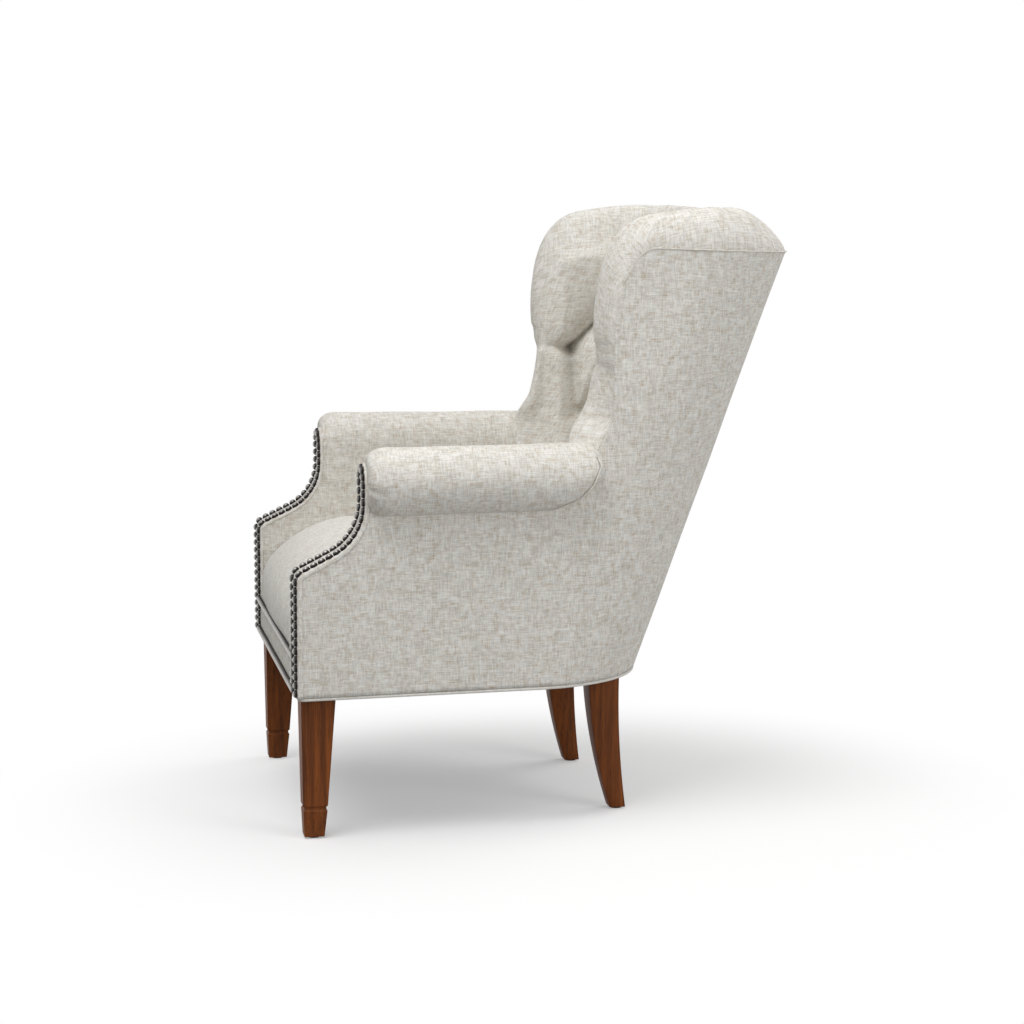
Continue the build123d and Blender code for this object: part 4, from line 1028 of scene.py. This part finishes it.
def outsidePlace(u, v):
    z = outsideHeight(v)
    frontShare, bendShare = outside["frontShare"], outside["bendShare"]
    seam = seamShift(z) + outside["seam"]
    underFacing = frontEdgeY(z) + facing["wrapOut"] - outside["underFacing"]
    start = np.where(z < outside["shelf"], underFacing, seam)
    upward = np.clip((z - bendHeight) / bendRise, 0, 1)
    outward = np.clip((bendShare - u) / (bendShare - frontShare), 0, 1)
    roundOut, roundUp = roundedSquare(outward, upward)
    height = np.where(upward > 0, bendHeight + bendRise * roundUp, z)
    tangentY = cornerY(height) + cornerRadius * sin(taper)

    def lengthAt(y):     # along the outline, nothing where the round corner starts
        onArc = np.arccos(np.clip((y - cornerY(height)) / cornerRadius, 0, 1))
        return np.where(y < tangentY, (y - tangentY) / cos(taper), cornerRadius * (quarter - onArc))

    seamLength, bendLength = lengthAt(seam), lengthAt(outsideBendY)
    run = bendLength + (seamLength - bendLength) * roundOut
    run = np.where(u < frontShare, run + (lengthAt(start) - seamLength) * (1 - u / frontShare), run)
    endLength = cornerRadius * (quarter - np.arcsin((chair["backPanel"] - halfSpan) / cornerRadius))
    onward = np.clip((u - bendShare) / (1 - bendShare), 0, 1)
    run = np.where(u > bendShare, bendLength + (endLength - bendLength) * onward, run)
    turn = quarter - np.maximum(run, 0) / cornerRadius
    straight = tangentY + np.minimum(run, 0) * cos(taper)
    x = np.where(run > 0, halfSpan + cornerRadius * np.sin(turn), sideX(straight, height))
    y = np.where(run > 0, cornerY(height) + cornerRadius * np.cos(turn), straight)
    points = stacked(x, y, height)
    normal = stacked(np.where(run > 0, np.sin(turn), cos(taper)), np.where(run > 0, np.cos(turn), sin(taper)),
                     0 * turn)
    rearDip = outside["seamDip"] * np.exp((u - 1) * outside["length"] / outside["dipWidth"])
    ease = softNoise(points, *outside["swell"]) - rearDip - outside["sunk"]
    return settleTop(points + normal * ease[:, None]), stacked(run + tangentY, height)


def outsideBackPlace(u, v):
    z = outsideHeight(v)
    x = (2 * u - 1) * chair["backPanel"]
    y = cornerY(z) + np.sqrt(cornerRadius**2 - np.maximum(np.abs(x) - halfSpan, 0)**2)
    swell = softNoise(stacked(x, y, z), *outside["backSwell"])
    for gap in (chair["backPanel"] - np.abs(x), topSeam - z):
        swell = swell - outside["edgeDip"] * np.exp(-gap / outside["dipWidth"])
    clothShift, clothRake = outside["backCloth"]
    return settleTop(stacked(x, y + swell, z)), stacked(x + clothShift, z * clothRake)


for side, flip in sides:
    makeSheet("outside_cover_" + side, outside["grid"], outsidePlace, lambda place: place * Vector((1, 1, 0)),
              linen, ("outside_panel_" + side,), outside["cover"], flip)
makeSheet("outside_back_cover", outside["backGrid"], outsideBackPlace, lambda place: Vector((0, 1, 0)),
          linen, ("outside_back",), outside["cover"])
makeSheet("front_border_cover", border["grid"], borderPlace, lambda place: Vector((0, -1, 0)),
          linen, ("front_border",), border["cover"])
print("outside panels and front border made")


# Seat: one crowned tight cover over the foam, with a full round nose
seat = {
    "crown": 0.4970,
    "sideDrop": 0.047,
    "rearFall": 0.0275,
    "bulge": 0.014,
    "front": -0.434,
    "noseStart": 0.352,
    "noseDepth": 0.165,
    "nosePower": 1.95,
    "rearPlaces": ((0, 0.168), (0.3, 0.168), (0.6, 0.143), (0.8, 0.106), (1, 0.092)),
    "bottom": (-0.4385, 0.3165),
    "lip": 0.012,
    "grid": (84, 110),
    "ease": 0.008,
    "sidePull": 0.004,
    "pullWidth": 0.016,
    "pullHeight": 0.43,
    "swell": (0.0012, 0.11, 2.0),
    "swellHeight": 0.42,
    "cover": 0.003,
    "clear": 0.0006,
    "inset": 0.010,
    "deck": 0.3262,
    "foamGrid": (36, 48),
    "foamAcross": (0.04, 0.92),
    "foamAlong": (0.06, 0.93),
    "foamFront": 0.35,
}


def seatProfile(share):      # side view of the cover at one share of the width, from the border to the rear
    front = seat["front"] - seat["bulge"] * (1 - share**2)
    top = seat["crown"] - seat["sideDrop"] * share**2
    bottomY, bottomZ = seat["bottom"]
    lip = np.linspace(0, pi / 2, 12)
    ahead = np.cos(np.linspace(0, pi / 2, 80))
    power = seat["nosePower"]
    noseY = front + seat["noseDepth"] * (1 - ahead)
    noseZ = seat["noseStart"] + (top - seat["noseStart"]) * (1 - ahead**power)**(1 / power)
    backY = np.linspace(noseY[-1], readOff(seat["rearPlaces"], abs(share)), 80)[1:]
    backZ = top - seat["rearFall"] * (backY - backY[0])
    y = np.concatenate((bottomY + (front - bottomY) * np.sin(lip), noseY, backY))
    z = np.concatenate((bottomZ + seat["lip"] * (1 - np.cos(lip)), noseZ, backZ))
    length = np.concatenate(([0], np.cumsum(np.hypot(np.diff(y), np.diff(z)))))
    even = np.linspace(0, length[-1], 400)
    width = seat["ease"] / even[1]
    reach = int(3 * width)
    window = np.exp(-0.5 * (np.arange(-reach, reach + 1) / width)**2)
    return even, *(averaged(np.interp(even, length, line), window) for line in (y, z))


def seatPlace(u, v):
    points = np.zeros((len(u), 3))
    lengths = np.zeros((len(u), 2))
    for across in np.unique(np.round(u, 6)):
        chosen = np.abs(u - across) < 1e-5
        share = 2 * across - 1
        even, profileY, profileZ = seatProfile(share)
        place = v[chosen] * even[-1]
        y, z = np.interp(place, even, profileY), np.interp(place, even, profileZ)
        sideGap = (1 - abs(share)) * innerArmX(chair["front"])
        pull = np.clip(1 - sideGap / seat["pullWidth"], 0, 1)
        z = z - seat["sidePull"] * pull**2 * (z > seat["pullHeight"])
        x = share * (innerArmX(np.maximum(y, chair["front"])) - seat["clear"])
        points[chosen] = stacked(x, y, z)
        lengths[chosen] = stacked(x, place)
    points[:, 2] += softNoise(points, *seat["swell"]) * (points[:, 2] > seat["swellHeight"])
    return points, lengths


def foamPlace(u, v):     # the cover's shape, set in
    (acrossStart, acrossRun), (alongStart, alongRun) = seat["foamAcross"], seat["foamAlong"]
    points, lengths = seatPlace(acrossStart + acrossRun * u, alongStart + alongRun * v)
    points[:, 1] += seat["inset"] * np.clip(1 - v / seat["foamFront"], 0, 1)
    points[:, 2] = np.maximum(points[:, 2] - seat["inset"], seat["deck"])
    return points, lengths


def makeFoamBlock():
    made = clothGrid(*seat["foamGrid"], foamPlace)
    for vert in extrudeRim(made, openEdges(made))[0]:
        vert.co.z = seat["deck"]
    closeUp(made, merge=0.0002, corners=0)
    finishPiece("seat_foam_block", made, foam, ("seat_foam",))


seatCover = makeSheet("seat_cover_cloth", seat["grid"], seatPlace,
                      lambda place: place - Vector((0, -0.1, 0.3)), seatLinen, ("seat_cover",), seat["cover"])
makeFoamBlock()
print("seat made")


# Welt cords
welts = {
    "bottomRadius": 0.0028,
    "topRadius": 0.0013,
    "rollRadius": 0.0018,
    "cornerRadius": 0.010,
    "step": 0.006,
    "topEnd": radians(50),
    "topDrop": 0.6,
    "topOut": 0.3,
    "rollSink": 0.0020,
    "rollAngles": (-95, 46, 3.0),
    "rollBack": 0.001,
    "baseOverlap": 0.0004,
    "topClear": 0.002,
    "bias": (0.7, 0.013),
}


def tube(name, points, radius, around, material, replaced):
    # a round cord along a smooth line of points, its cloth turned on the bias
    path = np.array(points)
    run = np.gradient(path, axis=0)
    run = run / np.linalg.norm(run, axis=1)[:, None]
    side = np.cross(run, (0.0, 0.0, 1.0))
    weak = np.linalg.norm(side, axis=1) < 0.2
    side[weak] = np.cross(run[weak], (0.0, 1.0, 0.0))
    side = side / np.linalg.norm(side, axis=1)[:, None]
    over = np.cross(side, run)
    distance = np.concatenate(([0], np.cumsum(np.linalg.norm(np.diff(path, axis=0), axis=1))))
    biasRun, biasTurn = welts["bias"]

    def place(u, v):
        number = np.round(u * (len(path) - 1)).astype(int)
        ring = side[number] * np.cos(2 * pi * v)[:, None] + over[number] * np.sin(2 * pi * v)[:, None]
        run = distance[number] * biasRun
        return path[number] + ring * radius, stacked(run + v * biasTurn, run - v * biasTurn)

    made = clothGrid(len(path) - 1, around, place)
    weaveMap(made)
    closeUp(made, merge=radius / 50, corners=around + 2)
    finishPiece(name, made, material, replaced)


def bothSides(line):     # a line that ends in the middle, continued by its mirror image
    return line + [(-x, y, z) for x, y, z in reversed(line[:-1])]


def bodyOutline(height, frontPlace, reach):     # left half of the body's outline, from a side to the middle
    radius = cornerRadius + reach
    tangentY = cornerY(height) + radius * sin(taper)
    tangentX = halfSpan + radius * cos(taper)
    points = [(tangentX + (tangentY - y) * tan(taper), y, height)
              for y in spread(frontPlace, tangentY, welts["step"])[:-1]]
    points += [(halfSpan + radius * sin(turn), cornerY(height) + radius * cos(turn), height)
               for turn in spread(quarter, 0, welts["step"] / radius)]
    return points + [(x, cornerY(height) + radius, height) for x in spread(halfSpan, 0, welts["step"])[1:]]


def makeBottomWelt():
    radius, bend = welts["bottomRadius"], welts["cornerRadius"]
    height = base - radius + welts["baseOverlap"]
    frontLine = chair["front"] + radius
    half = bodyOutline(height, frontLine + bend, -radius)
    startX = half[0][0]
    corner = [(startX - bend + bend * cos(turn), frontLine + bend - bend * sin(turn), height)
              for turn in spread(0, pi / 2, 0.2)[1:]]
    front = [(x, frontLine, height) for x in spread(startX - bend, 0, welts["step"])[1:]]
    loop = bothSides(front[::-1] + corner[::-1] + half)
    tube("bottom_welt_cord", loop, radius, 10, weltLinen, ("bottom_welt",))


def makeTopWelt():
    radius = welts["topRadius"]
    drop = radius * welts["topDrop"]
    bend = []
    for turn in spread(0, welts["topEnd"], radians(5))[1:]:
        y = outsideBendY - chair["bendDepth"] * sin(turn)
        z = bendHeight + bendRise * cos(turn) - drop
        bend.append((sideX(y, z) + radius * (welts["topOut"] - turn / welts["topEnd"]), y, z))
    half = bodyOutline(topSeam - drop, chair["wingSeam"] + chair["bendDepth"], radius * welts["topOut"])
    rear = [point for point in half if point[1] > outsideBendY + welts["topClear"]]
    tube("top_welt_cord", settleTop(np.array(bothSides(bend[::-1] + rear))), radius, 8, linen, ("top_welt",))


def makeRollWelt(side, flip):
    reach = roll - welts["rollSink"]
    points = []
    for angle in np.arange(*welts["rollAngles"]):
        y = float(readOff(armPad["rearPlaces"], angle)) + welts["rollBack"]
        x = rollX(y) + reach * cos(radians(angle)) / cos(taper)
        points.append((-x if flip else x, y, rollHeight + reach * sin(radians(angle))))
    tube("roll_welt_cord_" + side, points, welts["rollRadius"], 8, linen, ("roll_end_welt_" + side,))


makeBottomWelt()
makeTopWelt()
for side, flip in sides:
    makeRollWelt(side, flip)
print("welts made")


# Legs: square tapered front ones with a grooved foot, and sabre rear ones
frontLeg = {
    "glide": 0.003,
    "outerFoot": 0.34128,
    "frontFoot": -0.425,
    "foot": 0.034,
    "spade": 0.041,
    "footHeight": 0.050,
    "ring": 0.005,
    "groove": 0.0012,
    "neckSize": 0.037,
    "ankle": 0.042,
    "top": 0.059,
    "outerTop": 0.35028,
    "frontTop": -0.430,
    "bevel": 0.0012,
}
rearLeg = {      # where each face stands on the floor and at the base, and how far it bows forward
    "outer": (0.217, 0.222, 0),
    "inner": (0.185, 0.165, 0),
    "front": (0.128, 0.088, 0.0085),
    "rear": (0.156, 0.143, 0.005),
    "levels": 14,
}


def finishLeg(name, levels, replaced, flip):
    # square rings joined from the floor up; a level is height, centre x, centre y, half width, half depth
    made = bmesh.new()
    rings = []
    for height, x, y, halfWidth, halfDepth in levels:
        verts = [made.verts.new((x + across * halfWidth, y + deep * halfDepth, height))
                 for across, deep in ((-1, -1), (1, -1), (1, 1), (-1, 1))]
        rings.append([made.edges.new((verts[number], verts[(number + 1) % 4])) for number in range(4)])
    for lower, upper in zip(rings, rings[1:]):
        bmesh.ops.bridge_loops(made, edges=lower + upper)
    for ring in (rings[0], rings[-1]):
        bmesh.ops.contextual_create(made, geom=ring)
    bmesh.ops.recalc_face_normals(made, faces=made.faces)
    made.normal_update()
    sharp = [edge for edge in made.edges if edge.calc_face_angle(0) > radians(30)]
    bmesh.ops.bevel(made, geom=sharp, offset=frontLeg["bevel"], offset_type="OFFSET", affect="EDGES",
                    segments=2, profile=0.5, material=-1, clamp_overlap=True)
    if flip:
        mirrored(made)
    return finishPiece(name, made, walnut, replaced)


def makeFrontLeg(side, flip):
    ring, groove = frontLeg["ring"], frontLeg["groove"]
    ankle, footTop = frontLeg["ankle"], frontLeg["footHeight"]
    ankleX = frontLeg["outerFoot"] + ring - ankle / 2
    ankleY = frontLeg["frontFoot"] - ring / 2 + ankle / 2
    sizes = [(frontLeg["glide"], frontLeg["outerFoot"] - frontLeg["foot"] / 2,
              frontLeg["frontFoot"] + frontLeg["foot"] / 2, frontLeg["foot"]),
             (footTop - groove, ankleX, ankleY, frontLeg["spade"]),
             (footTop, ankleX, ankleY, frontLeg["neckSize"]),
             (footTop + ring, ankleX, ankleY, frontLeg["neckSize"]),
             (footTop + ring + groove, ankleX, ankleY, ankle),
             (base, frontLeg["outerTop"] - frontLeg["top"] / 2, frontLeg["frontTop"] + frontLeg["top"] / 2,
              frontLeg["top"])]
    levels = [(height, x, y, size / 2, size / 2) for height, x, y, size in sizes]
    finishLeg("leg_front_" + side, levels, ("front_leg_" + side,), flip).data.shade_flat()


def makeRearLeg(side, flip):
    levels = []
    for share in np.linspace(0, 1, rearLeg["levels"] + 1):
        outer, inner, front, rear = (
            floor + (top - floor) * share - bow * 4 * share * (1 - share)
            for floor, top, bow in (rearLeg[face] for face in ("outer", "inner", "front", "rear")))
        height = frontLeg["glide"] + (base - frontLeg["glide"]) * share
        levels.append((height, (inner + outer) / 2, (front + rear) / 2,
                       (outer - inner) / 2, (rear - front) / 2))
    finishLeg("leg_rear_" + side, levels, ("rear_leg_" + side,), flip)


for side, flip in sides:
    makeFrontLeg(side, flip)
    makeRearLeg(side, flip)
print("legs made")


# The hidden frame, springs and cloths keep their solids and get their finishes
finishes = {
    "seat_rail": frameWood, "corner_blocks": frameWood, "arm_post": frameWood, "arm_rail": frameWood,
    "rear_arm_post": frameWood, "belt_rail": frameWood, "back_post": frameWood, "wing_post": frameWood,
    "wing_top_rail": frameWood, "lumbar_rail": frameWood, "crest_rail": frameWood,
    "leg_bolts": steel, "leg_nuts": steel, "seat_springs": steel, "spring_clips": steel, "spring_ties": steel,
    "dust_cover_staples": steel, "back_web": webbing, "back_burlap": burlap, "seat_deck": deckCloth,
    "seat_foam": foam, "dust_cover": dustCloth, "glides": glidePlastic,
}
for name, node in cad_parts.items():
    fitting = [start for start in finishes if name.startswith(start)]
    if fitting:
        for holder in node.material_slots:
            holder.material = finishes[max(fitting, key=len)]
print("frame finished")


# Camera, floor and soft studio light
studio = {
    "eye": (4.799, -0.882, 1.098),
    "aim": (0.0, -0.0079, 0.5053),
    "lens": 95.35,
    "sensor": 36,
    "floor": 40.0,
    "ambient": 0.34,
    "floorSeen": 0.96,
    "floorLit": 0.42,
    "shadowPlace": (0.12, 0.0, 0.0),
    "shadowEdge": (0.42, 1.0),
    "glowInShadow": 0.32,
}


def stand(name, data, place, aim):       # puts a camera or lamp in the scene, turned to a point
    holder = bpy.data.objects.new(name, data)
    holder.location = place
    holder.rotation_euler = (Vector(aim) - holder.location).to_track_quat("-Z", "Y").to_euler()
    bpy.context.scene.collection.objects.link(holder)
    return holder


cameraData = bpy.data.cameras.new("Camera")
cameraData.lens = studio["lens"]
cameraData.sensor_width = studio["sensor"]
bpy.context.scene.camera = stand("Camera", cameraData, studio["eye"], studio["aim"])


def addLamp(name, place, aim, size, watts):
    lamp = bpy.data.lights.new(name, "AREA")
    lamp.shape = "RECTANGLE"
    lamp.size, lamp.size_y = size
    lamp.energy = watts
    stand(name, lamp, place, aim)


addLamp("KeyLamp", (1.25, -1.25, 3.5), (0, 0, 0.5), (2.2, 2.2), 80)
addLamp("SideLamp", (3.2, 2.6, 1.5), (0, 0, 0.5), (2.0, 2.0), 51)
addLamp("RearLamp", (-1.4, 2.3, 2.8), (0, 0, 0.6), (2.0, 2.0), 30)


def seenRay(tree):       # 1 where the camera sees a surface, straight or in a mirror or glass
    rays = tree.nodes.new("ShaderNodeLightPath")
    camera, glossy, through = (Signal(tree, rays.outputs[kind]) for kind in (
        "Is Camera Ray", "Is Glossy Ray", "Is Transmission Ray"))
    return camera.maths("MAXIMUM", camera, glossy.maths("MAXIMUM", glossy, through))


world = bpy.data.worlds.new("World")
bpy.context.scene.world = world
world.use_nodes = True
background = world.node_tree.nodes["Background"]
background.inputs["Color"].default_value = (1, 1, 1, 1)
connect(background, "Strength", seenRay(world.node_tree) * (1 - studio["ambient"]) + studio["ambient"])


def makeFloorMaterial():     # seen it is white away from the chair, and under it a lit grey takes the shadow
    material, shader, place = startMaterial("Floor", "object")
    seen = seenRay(material.node_tree)
    connect(shader, "Base Color", seen.colours((studio["floorLit"],) * 3, (studio["floorSeen"],) * 3))
    shader.inputs["Roughness"].default_value = 0.9
    shader.inputs["Specular IOR Level"].default_value = 0.1
    away = place.node("ShaderNodeVectorMath", {"operation": "DISTANCE"},
                      {0: place, 1: studio["shadowPlace"]}, "Value")
    glow = place.node("ShaderNodeEmission", {}, {"Color": (1, 1, 1, 1), "Strength": 1.0})
    dark = studio["glowInShadow"]
    whiten = (away.between(*studio["shadowEdge"]) * (1 - dark) + dark) * seen
    lit = Signal(material.node_tree, shader.outputs[0])
    mixed = place.node("ShaderNodeMixShader", {}, {0: whiten, 1: lit, 2: glow})
    connect(material.node_tree.nodes["Material Output"], "Surface", mixed)
    return material


floorMade = bmesh.new()
bmesh.ops.create_grid(floorMade, x_segments=1, y_segments=1, size=studio["floor"] / 2)
floorMesh = bpy.data.meshes.new("floor")
floorMade.to_mesh(floorMesh)
floorMade.free()
floor = bpy.data.objects.new("floor", floorMesh)
bpy.context.scene.collection.objects.link(floor)
floorMesh.materials.append(makeFloorMaterial())
bpy.context.scene.view_settings.view_transform = "Standard"
print("studio made")
